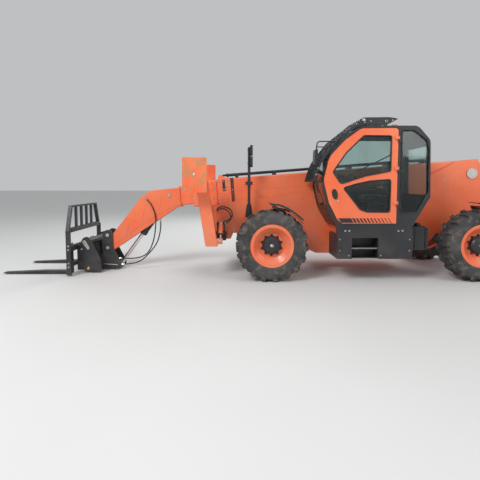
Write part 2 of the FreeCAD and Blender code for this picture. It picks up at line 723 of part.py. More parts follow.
def boom_section(level):
    """Inner boom section that slides out of the one before it."""
    body = new_body(f"boom_section_{level + 1}", PIVOT, SLOPE)
    front = -(s.boom_front + level * s.head_step)
    tail = sized(-100 * level)
    section_tube(body, front, tail, level)
    if level < 3:
        section_head(body, front, s.head_length, level)
    wear_pads(body, level, front, tail)
    return body


def gooseneck():
    """Bent boom end, welded to section 4, that carries the coupler and the tilt cylinder."""
    body = new_body("gooseneck", PIVOT, SLOPE)
    top, low, width, wall = SECTIONS[3]
    face = FLANGE_X
    half = s.neck_width / 2
    flange = rectangle(-half, half, low - s.head_low, top + s.head_side, 20)
    hole = rectangle(-width / 2 + wall, width / 2 - wall, low + wall, top - wall, 20)
    pad(body, "YZ_Plane", [flange, hole], face - 30, face)
    pin_x, pin_z = face + s.neck_pin_x, s.neck_pin_z
    boss = s.neck_boss
    plate = outline(
        (face - 20, top - 12), (face - 539, 141), (face - 720, 41), (pin_x + 15, pin_z + 150),
        (pin_x - boss * 0.95, pin_z - 10, 60), (pin_x - 20, pin_z - boss, 60),
        (pin_x + 60, pin_z - boss * 0.75, 30), (face - 20, low + 6))
    pad(body, "XZ_Plane", [plate], -half, half)
    inner = half - s.neck_plate
    hollow = outline(
        (face + 5, top - 26), (face - 535, 127), (face - 712, 29), (pin_x + 140, pin_z + 250),
        (pin_x + 190, pin_z + 40), (pin_x + 260, pin_z - 200), (face + 5, low - 300))
    pocket(body, "XZ_Plane", [hollow], -inner, inner)
    pad(body, "XZ_Plane", [circle(pin_x, pin_z, boss)], -half, half)
    pocket(body, "XZ_Plane", [circle(pin_x, pin_z, 32 + s.running_gap)], -half - 1, half + 1)
    base_x, base_z = face + s.tilt_base_x, s.tilt_base_z
    pad(body, "XZ_Plane", [circle(base_x, base_z, s.tilt_pin_radius)], -half - 12, half + 12)
    for side in (LEFT, RIGHT):
        pad(body, "XZ_Plane", [circle(base_x, base_z, 55)], *across(side, inner - 30, inner + 1))
    return body


COUPLER_PIN = boom_place(FLANGE_X + s.neck_pin_x, s.neck_pin_z)


def coupler():
    """Tilting tool coupler: ears on the neck's pin, side plates and cross tubes."""
    body = new_body("coupler", COUPLER_PIN)
    ear_near = s.neck_width / 2 + s.ear_gap
    ear_far = ear_near + s.ear_plate
    side_far, side_near = s.side_plate_y, s.side_plate_y - s.ear_plate
    rod_x, rod_z = s.tilt_rod_x, s.tilt_rod_z
    ear = outline(
        (-95, -120), (-95, s.upper_pin_z + 95, 93), (85, s.upper_pin_z + 95, 85), (95, 0, 60),
        (rod_x + 62, rod_z + 40, 50), (rod_x + 50, rod_z - 56, 50), (-210, rod_z - 50), (-210, -160))
    side_plate = outline(
        (-325, -390), (-33, -390), (-33, -178, 20), (-203, 184, 50), (-262, 250, 70), (-345, 225, 70),
        (-415, 90, 40), (-400, -60, 30), (-345, -240, 30))
    for side in (LEFT, RIGHT):
        pad(body, "XZ_Plane", [ear], *across(side, ear_near, ear_far))
        pad(body, "XZ_Plane", [side_plate], *across(side, side_near, side_far))
        lug = outline((-150, -380), (rod_x, rod_z - 55), (rod_x + 55, rod_z, 50), (rod_x, rod_z + 60, 40),
                      (-150, -260))
        pad(body, "XZ_Plane", [lug], *across(side, 58, 82))
        pad(body, "XZ_Plane", [circle(rod_x, rod_z, 32)], *across(side, 80, 96))
    for x, z, radius in ((-255, 150, 62), (-262, -329, 45), (-130, -325, 58)):
        pad(body, "XZ_Plane", [circle(x, z, radius)], -side_near - 1, side_near + 1)
    pad(body, "XZ_Plane", [circle(0, 0, 32)], -ear_far - 14, ear_far + 14)
    for side in (LEFT, RIGHT):
        pad(body, "XZ_Plane", [circle(0, s.upper_pin_z, 34)], *across(side, ear_near, ear_far + 14))
    return body


def fork_carriage():
    """Fork carriage with its end posts, cross bars and barred load guard."""
    body = new_body("fork_carriage", COUPLER_PIN)
    face, back = s.carriage_face_x, s.carriage_face_x + s.carriage_depth
    half = s.carriage_width / 2
    low, high, top = s.carriage_low, s.carriage_high, s.guard_high
    for side in (LEFT, RIGHT):
        post = rectangle(face, back, low, high)
        pad(body, "XZ_Plane", [post], *across(side, half - 30, half))
        hook = outline((back - 20, -360), (-307.3, -360), (-307.3, -285), (-330, -240), (-360, 60),
                       (back - 20, 105))
        pad(body, "XZ_Plane", [hook], *across(side, s.side_plate_y - s.ear_plate - 42,
                                              s.side_plate_y - s.ear_plate - 2))
    for z_low, z_high in ((low + 140, low + 210), (15, 110), (high - 35, high)):
        box(body, (face + s.pad_gap, back - 12), (-half + 20, half - 20), (z_low, z_high))
    slope = 150
    guard = outline((-half, high - 2), (half, high - 2), (half - slope, top), (-half + slope, top))
    window = outline((-half + 62, high + 40), (half - 62, high + 40), (half - slope - 42, top - 30),
                     (-half + slope + 42, top - 30))
    pad(body, "YZ_Plane", [guard, window], face, face + 60)
    for step in (-1.5, -0.5, 0.5, 1.5):
        box(body, (face + 10, face + 50), (step * 240 - 22, step * 240 + 22), (high + 38, top - 28))
    return body


def forks():
    """Two L-shaped fork arms with tapered blades."""
    body = new_body("forks", COUPLER_PIN)
    face, thick = s.carriage_face_x, s.fork_thick
    low = s.carriage_low
    arm = outline(
        (face, low), (face, 125), (face - thick * 0.7, 125), (face - thick, 60),
        (face - thick, low + thick, 30), (face - 500, low + thick), (face - s.fork_length, low + 14),
        (face - s.fork_length, low))
    for side in (LEFT, RIGHT):
        pad(body, "XZ_Plane", [arm], *across(side, s.fork_y - s.fork_width / 2, s.fork_y + s.fork_width / 2))
    return body


def ram(name, kind, base, rod_pin, pin_axis):
    """Hydraulic cylinder: a barrel on its base pin and a rod that slides in it."""
    along = rod_pin - base
    length = along.Length
    turn = Rotation(along.normalize(), pin_axis, Vector(), "XYZ")
    barrel_end, barrel_radius, barrel_eye, rod_start, rod_radius, rod_eye, eye_radius, pin_radius = (
        getattr(s, f"{kind}_{part}") for part in (
            "barrel_length", "barrel_radius", "barrel_eye", "rod_start", "rod_radius", "rod_eye",
            "eye_radius", "pin_radius"))
    barrel = new_body(f"{name}_barrel", base, turn)
    pad(barrel, "YZ_Plane", [circle(0, 0, barrel_radius)], eye_radius * 0.7, barrel_end)
    pad(barrel, "XZ_Plane", [circle(0, 0, eye_radius)], -barrel_eye / 2, barrel_eye / 2)
    gland = circle(0, 0, barrel_radius * 1.12)
    pad(barrel, "YZ_Plane", [gland], barrel_end - barrel_radius, barrel_end)
    bore_floor = eye_radius * 1.4
    pocket(barrel, "YZ_Plane", [circle(0, 0, rod_radius + s.running_gap)], bore_floor, barrel_end + 1)
    pocket(barrel, "XZ_Plane", [circle(0, 0, pin_radius + s.running_gap)], -barrel_eye, barrel_eye)
    rod = new_body(f"{name}_rod", base, turn)
    pad(rod, "YZ_Plane", [circle(0, 0, rod_radius)], rod_start, length - float(eye_radius) * 0.7)
    pad(rod, "XZ_Plane", [circle(length, 0, eye_radius)], -rod_eye / 2, rod_eye / 2)
    return barrel, rod


LIFT_BASE = Vector(aft(s.lift_base_x), 0, s.lift_base_z)
LIFT_ROD = boom_place(s.lift_rod_x, s.lift_rod_z)
TILT_BASE = boom_place(FLANGE_X + s.tilt_base_x, s.tilt_base_z)
TILT_ROD = COUPLER_PIN + Vector(s.tilt_rod_x, 0, s.tilt_rod_z)


def stabilizer_beam():
    """Cross beam under the frame's nose with the leg hinges and the cylinder brackets."""
    body = new_body("stabilizer_beam")
    hinge_x, end = fore(s.leg_hinge_x), s.beam_end
    front, rear = hinge_x - 95, fore(-771)
    box(body, (front, rear), (-end, end), (s.beam_low_z, s.beam_high_z))
    for side in (LEFT, RIGHT):
        y, z = -side * float(s.leg_hinge_y), s.leg_hinge_z
        inner = -side * (float(end) - 10)
        lug = outline((inner, s.leg_hinge_z - 15), (y, z - 52, 20), (y - side * 52, z, 45), (y, z + 52, 20),
                      (inner, s.beam_high_z - 10))
        pad(body, "YZ_Plane", [lug], hinge_x - 62, hinge_x + 62)
        bore = circle(y, z, s.leg_hinge_radius + s.running_gap)
        pocket(body, "YZ_Plane", [bore], hinge_x - 63, hinge_x + 63)
        base_y, base_z = -side * float(s.ram_base_y), s.ram_base_z
        bracket = outline(
            (-side * (float(end) - 90), s.beam_high_z - 2), (-side * float(end), s.beam_high_z - 2),
            (base_y - side * 48, base_z - 20, 40), (base_y - side * 20, base_z + 50, 45),
            (base_y + side * 60, base_z + 20, 20))
        ram_x = hinge_x + s.ram_offset_x
        for x in (ram_x - 66, ram_x + 46):
            pad(body, "YZ_Plane", [bracket], x, x + 20)
        pad(body, "YZ_Plane", [circle(base_y, base_z, s.stabilizer_pin_radius)], ram_x - 76, ram_x + 76)
    return body


def stabilizer_leg(name, side):
    """Leaning leg box on its hinge, with the sole facing outward while it is folded."""
    hinge = Vector(fore(s.leg_hinge_x), -side * float(s.leg_hinge_y), s.leg_hinge_z)
    body = new_body(f"stabilizer_leg_{name}", hinge)
    outer = s.leg_outer_y - s.leg_hinge_y
    inner = outer - s.leg_depth
    lean = math.tan(math.radians(float(s.leg_lean)))
    half = s.leg_width / 2
    foot, head = sized(-80), s.leg_top_z - s.leg_hinge_z

    def leaned(x, z):
        return float(x) - lean * float(z), z

    box_side = outline(leaned(-half, foot), leaned(half, foot), leaned(half, head), leaned(-half, head))
    pad(body, "XZ_Plane", [box_side], *across(side, inner, outer))
    pocket(body, "XZ_Plane", [inset(box_side, s.leg_wall)],
           *across(side, inner + s.leg_wall, outer - s.leg_wall))
    lug_far = inner + 10
    for x_low in (-93, 68):
        lug = outline((side * 52, -50, 30), (side * 52, 50, 30),
                      (-side * float(lug_far), 110), (-side * float(lug_far), -75))
        pad(body, "YZ_Plane", [lug], x_low, x_low + 25)
    pad(body, "YZ_Plane", [circle(0, 0, s.leg_hinge_radius)], -105, 105)
    sole_y = s.sole_y - s.leg_hinge_y
    sole_low, sole_high = s.sole_low_z - s.leg_hinge_z, s.sole_high_z - s.leg_hinge_z
    middle = (sole_low + sole_high) / 2
    leg_mid = -lean * float(middle)
    sole_mid = leg_mid - s.sole_shift
    wide = s.sole_width / 2
    sole = rectangle(sole_mid - wide, sole_mid + wide, sole_low, sole_high, 22)
    pad(body, "XZ_Plane", [sole], *across(side, sole_y - 40, sole_y))
    neck = rectangle(leg_mid - 80, leg_mid + 80, middle - 170, middle, 10)
    pad(body, "XZ_Plane", [neck], *across(side, outer - 5, sole_y - 38))
    rod_y, rod_z = -side * float(s.ram_rod_y - s.leg_hinge_y), float(s.ram_rod_z - s.leg_hinge_z)
    arm = circle(rod_y, rod_z, 38)
    ram_x = s.ram_offset_x
    pad(body, "YZ_Plane", [arm], half - 12, ram_x - 24)
    pad(body, "YZ_Plane", [circle(rod_y, rod_z, 38)], ram_x + 24, ram_x + 40)
    strap = rectangle(half - 12, ram_x + 40, rod_z - 60, rod_z - 44)
    pad(body, "XZ_Plane", [strap], *across(side, abs(rod_y) - 30, abs(rod_y) + 30))
    cheek = rectangle(min(rod_y - 30, rod_y + 30), max(rod_y - 30, rod_y + 30), rod_z - 60, rod_z)
    pad(body, "YZ_Plane", [cheek], ram_x + 24, ram_x + 40)
    pad(body, "YZ_Plane", [cheek], half - 12, ram_x - 24)
    return body


def cab_outline():
    """Side view of the cab, from places behind the front axle and heights."""
    x, roof, floor = fore, s.cab_roof_z, s.cab_floor_z
    return outline(
        (x(1050), floor), (x(893), 1177, 80), (x(787), 1600, 420), (x(925), 2116, 420),
        (x(1143), 2350, 300), (x(1425), roof, 300), (x(2300), roof, 150), (x(2505), 2290, 150),
        (x(2531), 1386, 60), (x(2249), floor))


def door_outline():
    x = fore
    return outline(
        (x(1121), 960), (x(1040), 1032, 30), (x(907), 1290, 80), (x(815), 1650, 300), (x(905), 2030, 300),
        (x(1145), 2285, 200), (x(1400), 2472, 140), (x(1963), 2477, 40), (x(1991), 2440), (x(1991), 960))


def door_windows():
    x = fore
    upper = outline(
        (x(963), 1784, 40), (x(1165), 2080, 120), (x(1445), 2358, 60), (x(1880), 2352, 30),
        (x(1879), 1800, 30), (x(1474), 1721), (x(1094), 1594, 60))
    lower = outline(
        (x(1135), 1530, 30), (x(1333), 1594), (x(1556), 1641), (x(1883), 1665, 30), (x(1881), 1145, 30),
        (x(1520), 1145), (x(1406), 1185, 60))
    return upper, lower


def side_window():
    x = fore
    return outline(
        (x(2052), 2440, 40), (x(2249), 2440, 60), (x(2444), 2289, 60), (x(2490), 2132, 60),
        (x(2500), 1466, 60), (x(2323), 1137, 40), (x(2052), 1137, 40))


def boom_side_window():
    x = fore
    return outline(
        (x(1080), 1420, 40), (x(1010), 1700, 60), (x(1130), 2080, 90), (x(1440), 2380, 60),
        (x(2260), 2380, 60), (x(2400), 2200, 60), (x(2410), 1420, 60))


# Cab wall windows as boxes: x range from the front axle, z range
WINDSCREEN = (700, 1300, 1240, 2330)
REAR_WINDOW = (2300, 2700, 1420, 2200)
ROOF_WINDOW = (1500, 2200, 2400, 2700)

# Heights at which the two halves of each door hinge meet
DOOR_HINGES = (1266, 1819, 2300)


def cab_shell():
    """Hollow cab frame with the door opening and all window openings."""
    body = new_body("cab_shell")
    near, far, wall = s.cab_inner_y, s.cab_outer_y, s.cab_wall
    pad(body, "XZ_Plane", [cab_outline()], near, far)
    pocket(body, "XZ_Plane", [inset(cab_outline(), wall)], near + wall, far - wall)
    pocket(body, "XZ_Plane", [inset(door_outline(), -s.door_gap)], far - wall - 1, far + 1)
    pocket(body, "XZ_Plane", [side_window()], far - wall - 1, far + 1)
    pocket(body, "XZ_Plane", [boom_side_window()], near - 1, near + wall + 1)
    y_low, y_high = -(far - wall - 20), -(near + wall + 20)
    for x_low, x_high, z_low, z_high in (WINDSCREEN, REAR_WINDOW, ROOF_WINDOW):
        cut_box(body, (fore(x_low), fore(x_high)), (y_low, y_high), (z_low, z_high))
    for z in DOOR_HINGES:
        barrel = circle(fore(s.hinge_x), -s.hinge_y, s.hinge_radius)
        pad(body, "XY_Plane", [barrel], z - 45, z - s.pad_gap)
        box(body, (fore(s.hinge_x), fore(s.hinge_x) + 60), (-s.hinge_y - 4, -far + 1), (z - 45, z - 2))
    return body


def cab_glass():
    """Windscreen, roof, rear and side panes."""
    body = new_body("cab_glass")
    near, far, wall = s.cab_inner_y, s.cab_outer_y, s.cab_wall
    loop = cab_outline()
    y_low, y_high = near + wall + 20, far - wall - 20
    pad(body, "XZ_Plane", [inset(loop, 12), inset(loop, 12 + s.glass)], y_low, y_high)
    x_front, x_rear = fore(600), fore(2700)
    for x_low, x_high, z_low, z_high in (
            (x_front, x_rear, 800, WINDSCREEN[2]),
            (x_front, fore(ROOF_WINDOW[0]), WINDSCREEN[3], 2700),
            (fore(ROOF_WINDOW[1]), x_rear, REAR_WINDOW[3], 2700),
            (fore(2200), x_rear, 1200, REAR_WINDOW[2])):
        cut_box(body, (x_low, x_high), (-y_high - 1, -y_low + 1), (z_low, z_high))
    pad(body, "XZ_Plane", [side_window()], far - 30, far - 30 + s.glass)
    pad(body, "XZ_Plane", [boom_side_window()], near + 20, near + 20 + s.glass)
    return body


def cab_door():
    """Door frame with its two window openings, handle and hinge barrels."""
    body = new_body("cab_door")
    far = s.cab_outer_y
    outer = far + 4
    loops = [door_outline()] + list(door_windows())
    pad(body, "XZ_Plane", loops, outer - s.door_thick, outer)
    handle = outline((fore(992), 1362, 20), (fore(1034), 1362, 20), (fore(1004), 1502, 20),
                     (fore(962), 1502, 20))
    pad(body, "XZ_Plane", [handle], outer - 1, outer + 22)
    for z in DOOR_HINGES:
        pad(body, "XY_Plane", [circle(fore(s.hinge_x), -s.hinge_y, s.hinge_radius)], z, z + 45)
        box(body, (fore(s.hinge_x) - 60, fore(s.hinge_x)), (-s.hinge_y - 4, -outer + 1), (z + 2, z + 45))
    return body


def door_glass():
    body = new_body("door_glass")
    far = s.cab_outer_y
    for loop in door_windows():
        pad(body, "XZ_Plane", [loop], far - 26, far - 26 + s.glass)
    return body


def operator_seat():
    """Suspension base, cushion and backrest."""
    body = new_body("operator_seat")
    floor = s.cab_floor_z + s.cab_wall
    x, y = fore(1780), -(s.cab_inner_y + s.cab_outer_y) / 2
    pad(body, "XY_Plane", [rectangle(x - 180, x + 180, y - 170, y + 170, 30)], floor, floor + 345)
    cushion = outline((x - 260, floor + 330, 20), (x + 230, floor + 330), (x + 230, floor + 450),
                      (x - 240, floor + 480, 50))
    pad(body, "XZ_Plane", [cushion], -y - 240, -y + 240)
    back = outline((x + 170, floor + 420), (x + 300, floor + 400), (x + 380, floor + 1050, 60),
                   (x + 290, floor + 1060, 50))
    pad(body, "XZ_Plane", [back], -y - 225, -y + 225)
    return body


def cab_controls():
    """Steering column and wheel, front console and side console."""
    body = new_body("cab_controls")
    floor = s.cab_floor_z + s.cab_wall
    near, far, wall = s.cab_inner_y, s.cab_outer_y, s.cab_wall
    y = (near + far) / 2
    console = outline((fore(1095), floor), (fore(1230), floor), (fore(1170), floor + 420, 40),
                      (fore(1020), floor + 400, 30))
    pad(body, "XZ_Plane", [console], y - 130, y + 130)
    column = outline((fore(1090), floor + 380), (fore(1150), floor + 380), (fore(1330), floor + 690),
                     (fore(1290), floor + 715))
    pad(body, "XZ_Plane", [column], y - 28, y + 28)
    rail = outline((fore(1430), floor), (fore(2050), floor), (fore(2050), floor + 560, 40),
                   (fore(1430), floor + 600, 60))
    pad(body, "XZ_Plane", [rail], near + wall, near + wall + 120)
    return body


def steering_wheel():
    floor = s.cab_floor_z + s.cab_wall
    y = -(s.cab_inner_y + s.cab_outer_y) / 2
    turn = Rotation(Vector(1, 0, 0), 90)
    tilt = Rotation(Vector(0, 1, 0), 30)
    body = new_body("steering_wheel", Vector(fore(1317.1), y, floor + 713.6), tilt.multiply(turn))
    revolve(body, [circle(185, 0, 14)])
    revolve(body, [rectangle(0, 45, -12, 22)])
    for step in range(3):
        angle = math.radians(90 + 120 * step)
        along = Vector(math.cos(angle), math.sin(angle), 0)
        beside = Vector(-math.sin(angle), math.cos(angle), 0)
        corners = [along * 30 + beside * 14, along * 185 + beside * 10, along * 185 - beside * 10,
                   along * 30 - beside * 14]
        pad(body, "XZ_Plane", [outline(*[(corner.x, corner.y) for corner in corners])], -4, 4)
    return body


# Upper and lower corner of the seam where the windscreen guard meets the roof guard
GUARD_SEAM = ((1340, 2568), (1354, 2523))


def grille(body, side_plate, bar, rods):
    """Flat bars and cross rods between two side plates. Gives the y range of each side's feet."""
    low, high = s.cab_inner_y + 24, s.cab_outer_y - 24
    for near, far in ((low, low + 12), (high - 12, high)):
        pad(body, "XZ_Plane", [outline(*[(fore(x), z) for x, z in side_plate])], near, far)
    for step in range(1, BARS_IN_GUARD - 1):
        y = low + (high - low - 10) * (step / (BARS_IN_GUARD - 1))
        pad(body, "XZ_Plane", [outline(*[(fore(x), z) for x, z in bar])], y, y + 10)
    for x, z in rods:
        pad(body, "XZ_Plane", [circle(fore(x), z, 9)], low, high)
    return (-low - 24, -low), (-high, -high + 24)


def windscreen_guard():
    """Grille of bent flat bars in front of the windscreen, up to the roof guard."""
    body = new_body("windscreen_guard")
    edge = ((646, 1637), (672, 1720), (686, 1780), (721, 1877), (758, 1960), (804, 2030), (866, 2116),
            (931, 2201), (1030, 2322), (1160, 2425), (1265, 2508)) + GUARD_SEAM + (
            (1256, 2444), (1174, 2374), (1055, 2284), (960, 2170), (893, 2088), (832, 2002),
            (788, 1936), (752, 1858), (719, 1768), (707, 1711), (686, 1637))
    rods = ((674, 1660), (736, 1868), (850, 2059), (1006, 2256), (1213, 2434))
    for y in grille(body, edge, edge, rods):
        box(body, (fore(676), fore(802.5)), y, (1640, 1661))
    return body


def roof_guard():
    """Grille over the cab roof, on four feet, with a lifting hole in each side plate."""
    body = new_body("roof_guard")
    upper, lower = GUARD_SEAM
    top = (upper, (1431, 2646), (1539, 2649), (1851, 2652), (1985, 2630), (1978, 2618))
    side_plate = top + ((1831, 2538), (1470, 2538), lower)
    bar = top + ((1851, 2622), (1440, 2616), lower)
    for y in grille(body, side_plate, bar, ((1455, 2630), (1700, 2634), (1945, 2624))):
        for foot in (1530, 1760):
            box(body, (fore(foot), fore(foot) + 60), y, (s.cab_roof_z, 2545))
    near, far = s.cab_inner_y, s.cab_outer_y
    for start, end in ((near, near + 100), (far - 100, far)):
        pocket(body, "XZ_Plane", [circle(fore(1806), 2590, 14)], start, end)
    return body


def step_box():
    """Black box below the cab with the access step and the sill panel over it."""
    body = new_body("step_box")
    near, far = s.step_inner_y, s.cab_outer_y + 10
    front, rear, low, high = fore(s.step_front_x), fore(s.step_rear_x), s.step_low_z, s.step_high_z
    box(body, (front, rear), (-far, -near), (low, high))
    cut_box(body, (fore(1284), fore(1711)), (-far - 1, -far + 260), (low + 8, high - 32))
    box(body, (fore(1284) - 1, fore(1711) + 1), (-far + 30, -far + 240), (low + 150, low + 175))
    box(body, (front - 7, rear - 12), (-far, -(s.cab_outer_y - 58)), (high, s.cab_floor_z))
    for x_low in (fore(1120), fore(2080)):
        cut_box(body, (x_low, x_low + 110), (-(s.cab_outer_y - 60) - 0.01, -near + 1), (high, high + 400))
    return body


def fuel_tank():
    body = new_body("fuel_tank")
    outer = s.frame_gap / 2 + s.frame_plate
    shape = rectangle(fore(2355), fore(2634), 490, 878, 45)
    pad(body, "XZ_Plane", [shape], outer, s.tank_outer_y)
    pad(body, "XY_Plane", [circle(fore(2495), -(s.tank_outer_y - 120), 50)], 870, 910)
    return body


# Front ends of the engine hood's two hinges, behind the front axle
HOOD_HINGES = (1000, 2250)

# Lower edges of the air slots in the hood's side
LOUVRES = (790, 835, 880, 925, 970, 1015)


def hood_profile():
    """Section of the engine hood, (y, z) from the hinge edge outward and down."""
    return ((s.frame_gap / 2 + s.frame_plate + 25, s.pod_top_z), (s.pod_outer_y - 210, s.pod_top_z),
            (s.pod_outer_y, s.pod_top_z - 210), (s.pod_outer_y, s.pod_low_z + 280))


def engine_housing():
    """Tray and end walls round the engine, carried on the right side of the frame."""
    body = new_body("engine_housing")
    outer = s.frame_gap / 2 + s.frame_plate
    clear = s.hood_sheet + 10
    inner_edge, shoulder, corner, hem = hood_profile()
    x_low, x_high = fore(s.pod_front_x), fore(s.pod_rear_x)
    wall = outline(
        (outer, s.pod_low_z), (s.pod_outer_y - 4, s.pod_low_z), (s.pod_outer_y - 4, hem[1] - 6),
        (corner[0] - clear, hem[1] - 6), (corner[0] - clear, corner[1]),
        (shoulder[0], shoulder[1] - clear), (outer, shoulder[1] - clear))
    pad(body, "YZ_Plane", [wall], x_low, x_high)
    far, over = s.pod_outer_y - 16, s.pod_top_z + 40
    cavity = outline((outer + 12, s.pod_low_z + 12), (far, s.pod_low_z + 12), (far, over), (outer + 12, over))
    pocket(body, "YZ_Plane", [cavity], x_low + 30, x_high - 30)
    return body


def engine_block():
    """The engine as one plain mass on its mounts in the tray."""
    body = new_body("engine_block")
    near = s.frame_gap / 2 + s.frame_plate + 60
    box(body, (fore(1050), fore(2200)), (near, s.pod_outer_y - 180), (s.pod_low_z + 60, s.pod_top_z - 140))
    for x in (fore(1150), fore(2000)):
        box(body, (x, x + 90), (near + 60, s.pod_outer_y - 240), (s.pod_low_z + 12, s.pod_low_z + 61))
    return body


def engine_hood():
    """Folded hood sheet hinged along its inner edge."""
    body = new_body("engine_hood")
    inner_edge, shoulder, corner, hem = hood_profile()
    sheet_ = s.hood_sheet
    x_low, x_high = fore(s.pod_front_x) - 10, fore(s.pod_rear_x) + 10
    profile = outline(
        inner_edge, shoulder + (60,), corner + (60,), hem, (hem[0] - sheet_, hem[1]),
        (corner[0] - sheet_, corner[1] - 4, 52), (shoulder[0] - 4, shoulder[1] - sheet_, 52),
        (inner_edge[0], inner_edge[1] - sheet_))
    pad(body, "YZ_Plane", [profile], x_low, x_high)
    louvres = [rectangle(fore(x), fore(x) + 300, z, z + 14) for x in (1150, 1600) for z in LOUVRES]
    pocket(body, "XZ_Plane", louvres, *across(RIGHT, s.pod_outer_y - sheet_ - 1, s.pod_outer_y + 1))
    for x in HOOD_HINGES:
        pad(body, "YZ_Plane", [circle(*inner_edge, 14)], fore(x), fore(x) + 100)
        for notch in (fore(x) - 45, fore(x) + 100):
            cut_box(body, (notch, notch + 45), (inner_edge[0] - 1, inner_edge[0] + 22),
                    (s.pod_top_z - sheet_ - 1, s.pod_top_z + 1))
    return body


def hood_hinges():
    """Hinge brackets of the engine hood on the frame plate."""
    body = new_body("hood_hinges")
    outer = s.frame_gap / 2 + s.frame_plate
    y, z = hood_profile()[0]
    seat = z - s.hood_sheet - 10 + s.pad_gap
    bracket = outline((outer, seat), (y, seat), (y + 14, z, 8), (y, z + 14, 8), (outer, z + 14))
    for x in HOOD_HINGES:
        for x_low in (fore(x) - 40 - s.pad_gap, fore(x) + 100 + s.pad_gap):
            pad(body, "YZ_Plane", [bracket], x_low, x_low + 40)
    return body


def counterweight():
    """Cast counterweight across the rear of the frame."""
    body = new_body("counterweight")
    x_low = aft(s.frame_tail)
    x_high = x_low + s.weight_length
    half = s.weight_width / 2
    plan = outline((x_low, -half), (x_low + 120, -half), (x_high, -half + 140, 60), (x_high, half - 140, 60),
                   (x_low + 120, half), (x_low, half))
    pad(body, "XY_Plane", [plan], 560, 1180)
    for z_low, z_high in ((620, 720), (760, 1181)):
        cut_box(body, (x_high - 110, x_high + 1), (-80, 80), (z_low, z_high))
    pocket(body, "XY_Plane", [circle(x_high - 50, 0, s.tow_hole_radius)], 559, 761)
    return body


def tail_lamps():
    body = new_body("tail_lamps")
    x = aft(s.frame_tail) + s.weight_length
    for side in (LEFT, RIGHT):
        y = -side * (float(s.weight_width) / 2 - 250)
        pad(body, "YZ_Plane", [rectangle(y - 60, y + 60, 1000, 1080, 12)], x, x + 22)
    return body


def beacon():
    body = new_body("beacon")
    at = (fore(2200), -(s.cab_inner_y + 160))
    pad(body, "XY_Plane", [circle(*at, 62)], s.cab_roof_z, s.cab_roof_z + 24)
    pad(body, "XY_Plane", [circle(*at, 52)], s.cab_roof_z + 24, s.cab_roof_z + 120)
    return body


def mirror_post():
    """Post on the frame's nose with two mirror heads, and the mirror on the cab's front corner."""
    body = new_body("mirrors")
    plate = s.frame_gap / 2 + s.frame_plate
    x, y = fore(-360), 470
    gusset = outline((fore(-431), 1012), (fore(-288), 1012), (fore(-320), 1243, 30), (fore(-400), 1243, 30))
    pad(body, "XZ_Plane", [gusset], sized(y) - 8, sized(y) + 8)
    box(body, (fore(-420), fore(-300)), (-(sized(y) + 6), -plate), (1012, 1028))
    pad(body, "XY_Plane", [circle(x, -y, 24)], 1040, 2240)
    box(body, (x - 60, x + 60), (-y - 45, -y + 45), (1580, 1640))
    for z_low, z_high in ((1895, 2080), (2095, 2278)):
        pad(body, "YZ_Plane", [rectangle(-y - 85, -y + 85, z_low, z_high, 35)], x + 18, x + 62)
    arm_y = s.cab_outer_y - 24 + 10
    route = ((fore(1000), 2268), (fore(712), 2270, 50), (fore(690), 2120))
    bent_tube(body, "XZ_Plane", route, 10, arm_y)
    pad(body, "XZ_Plane", [rectangle(fore(692), fore(925), 2174, 2190)], arm_y - 10, arm_y)
    head = outline((fore(659), 1898, 20), (fore(690), 1898), (fore(715), 2000), (fore(712), 2143),
                   (fore(668), 2143, 20))
    pad(body, "XZ_Plane", [head], s.cab_outer_y - 140, s.cab_outer_y + 32)
    return body


def build_all():
    """Every sub-part, in the order in which the machine is put together."""
    parts = [frame_side(name, side) for name, side in SIDES]
    parts += [frame_crossmembers(), boom_pivot_pin(), stabilizer_beam(), counterweight()]
    parts += [axle("front", fore(0)), axle("rear", aft(0))]
    parts += [steering_rod("front", fore(0)), steering_rod("rear", aft(0))]
    for name, side, axle_x in wheel_places():
        parts += [knuckle(name, side, axle_x), rim(name, side, axle_x), tyre(name, side, axle_x)]
    parts += [cab_shell(), cab_glass(), windscreen_guard(), roof_guard()]
    parts += [operator_seat(), cab_controls(), steering_wheel()]
    parts += [cab_door(), door_glass(), step_box(), fuel_tank()]
    parts += [engine_housing(), engine_block(), engine_hood(), hood_hinges()]
    parts += [beacon(), tail_lamps(), mirror_post()]
    parts += [boom_base(), boom_pipes(), boom_section(1), boom_section(2), boom_section(3), gooseneck()]
    parts += [coupler(), fork_carriage(), forks()]
    parts += ram("lift", "lift", LIFT_BASE, LIFT_ROD, Vector(0, 1, 0))
    parts += ram("tilt", "tilt", TILT_BASE, TILT_ROD, Vector(0, 1, 0))
    for name, side in SIDES:
        parts += [stabilizer_leg(name, side)]
        ram_x = fore(s.leg_hinge_x) + s.ram_offset_x
        base = Vector(ram_x, -side * float(s.ram_base_y), s.ram_base_z)
        rod_pin = Vector(ram_x, -side * float(s.ram_rod_y), s.ram_rod_z)
        parts += ram(f"stabilizer_{name}", "stabilizer", base, rod_pin, Vector(1, 0, 0))
    return parts


def check_and_write(parts):
    """Recompute, check every object and write one file for each sub-part."""
    doc.recompute()
    for item in doc.Objects:
        if "Invalid" in item.State or "Error" in item.State:
            raise RuntimeError(f"{item.Label}: {item.State}")
    for part in parts:
        if part.Shape.isNull() or not part.Shape.isValid():
            raise RuntimeError(f"{part.Label} has no valid shape")
        part.Shape.exportStep(f"parts/{part.Label}.step")
        print(part.Label, len(part.Shape.Solids), round(part.Shape.Volume / 1e6, 1))


check_and_write(build_all())
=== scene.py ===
import json
import math

import bmesh
import bpy
from mathutils import Matrix, Vector


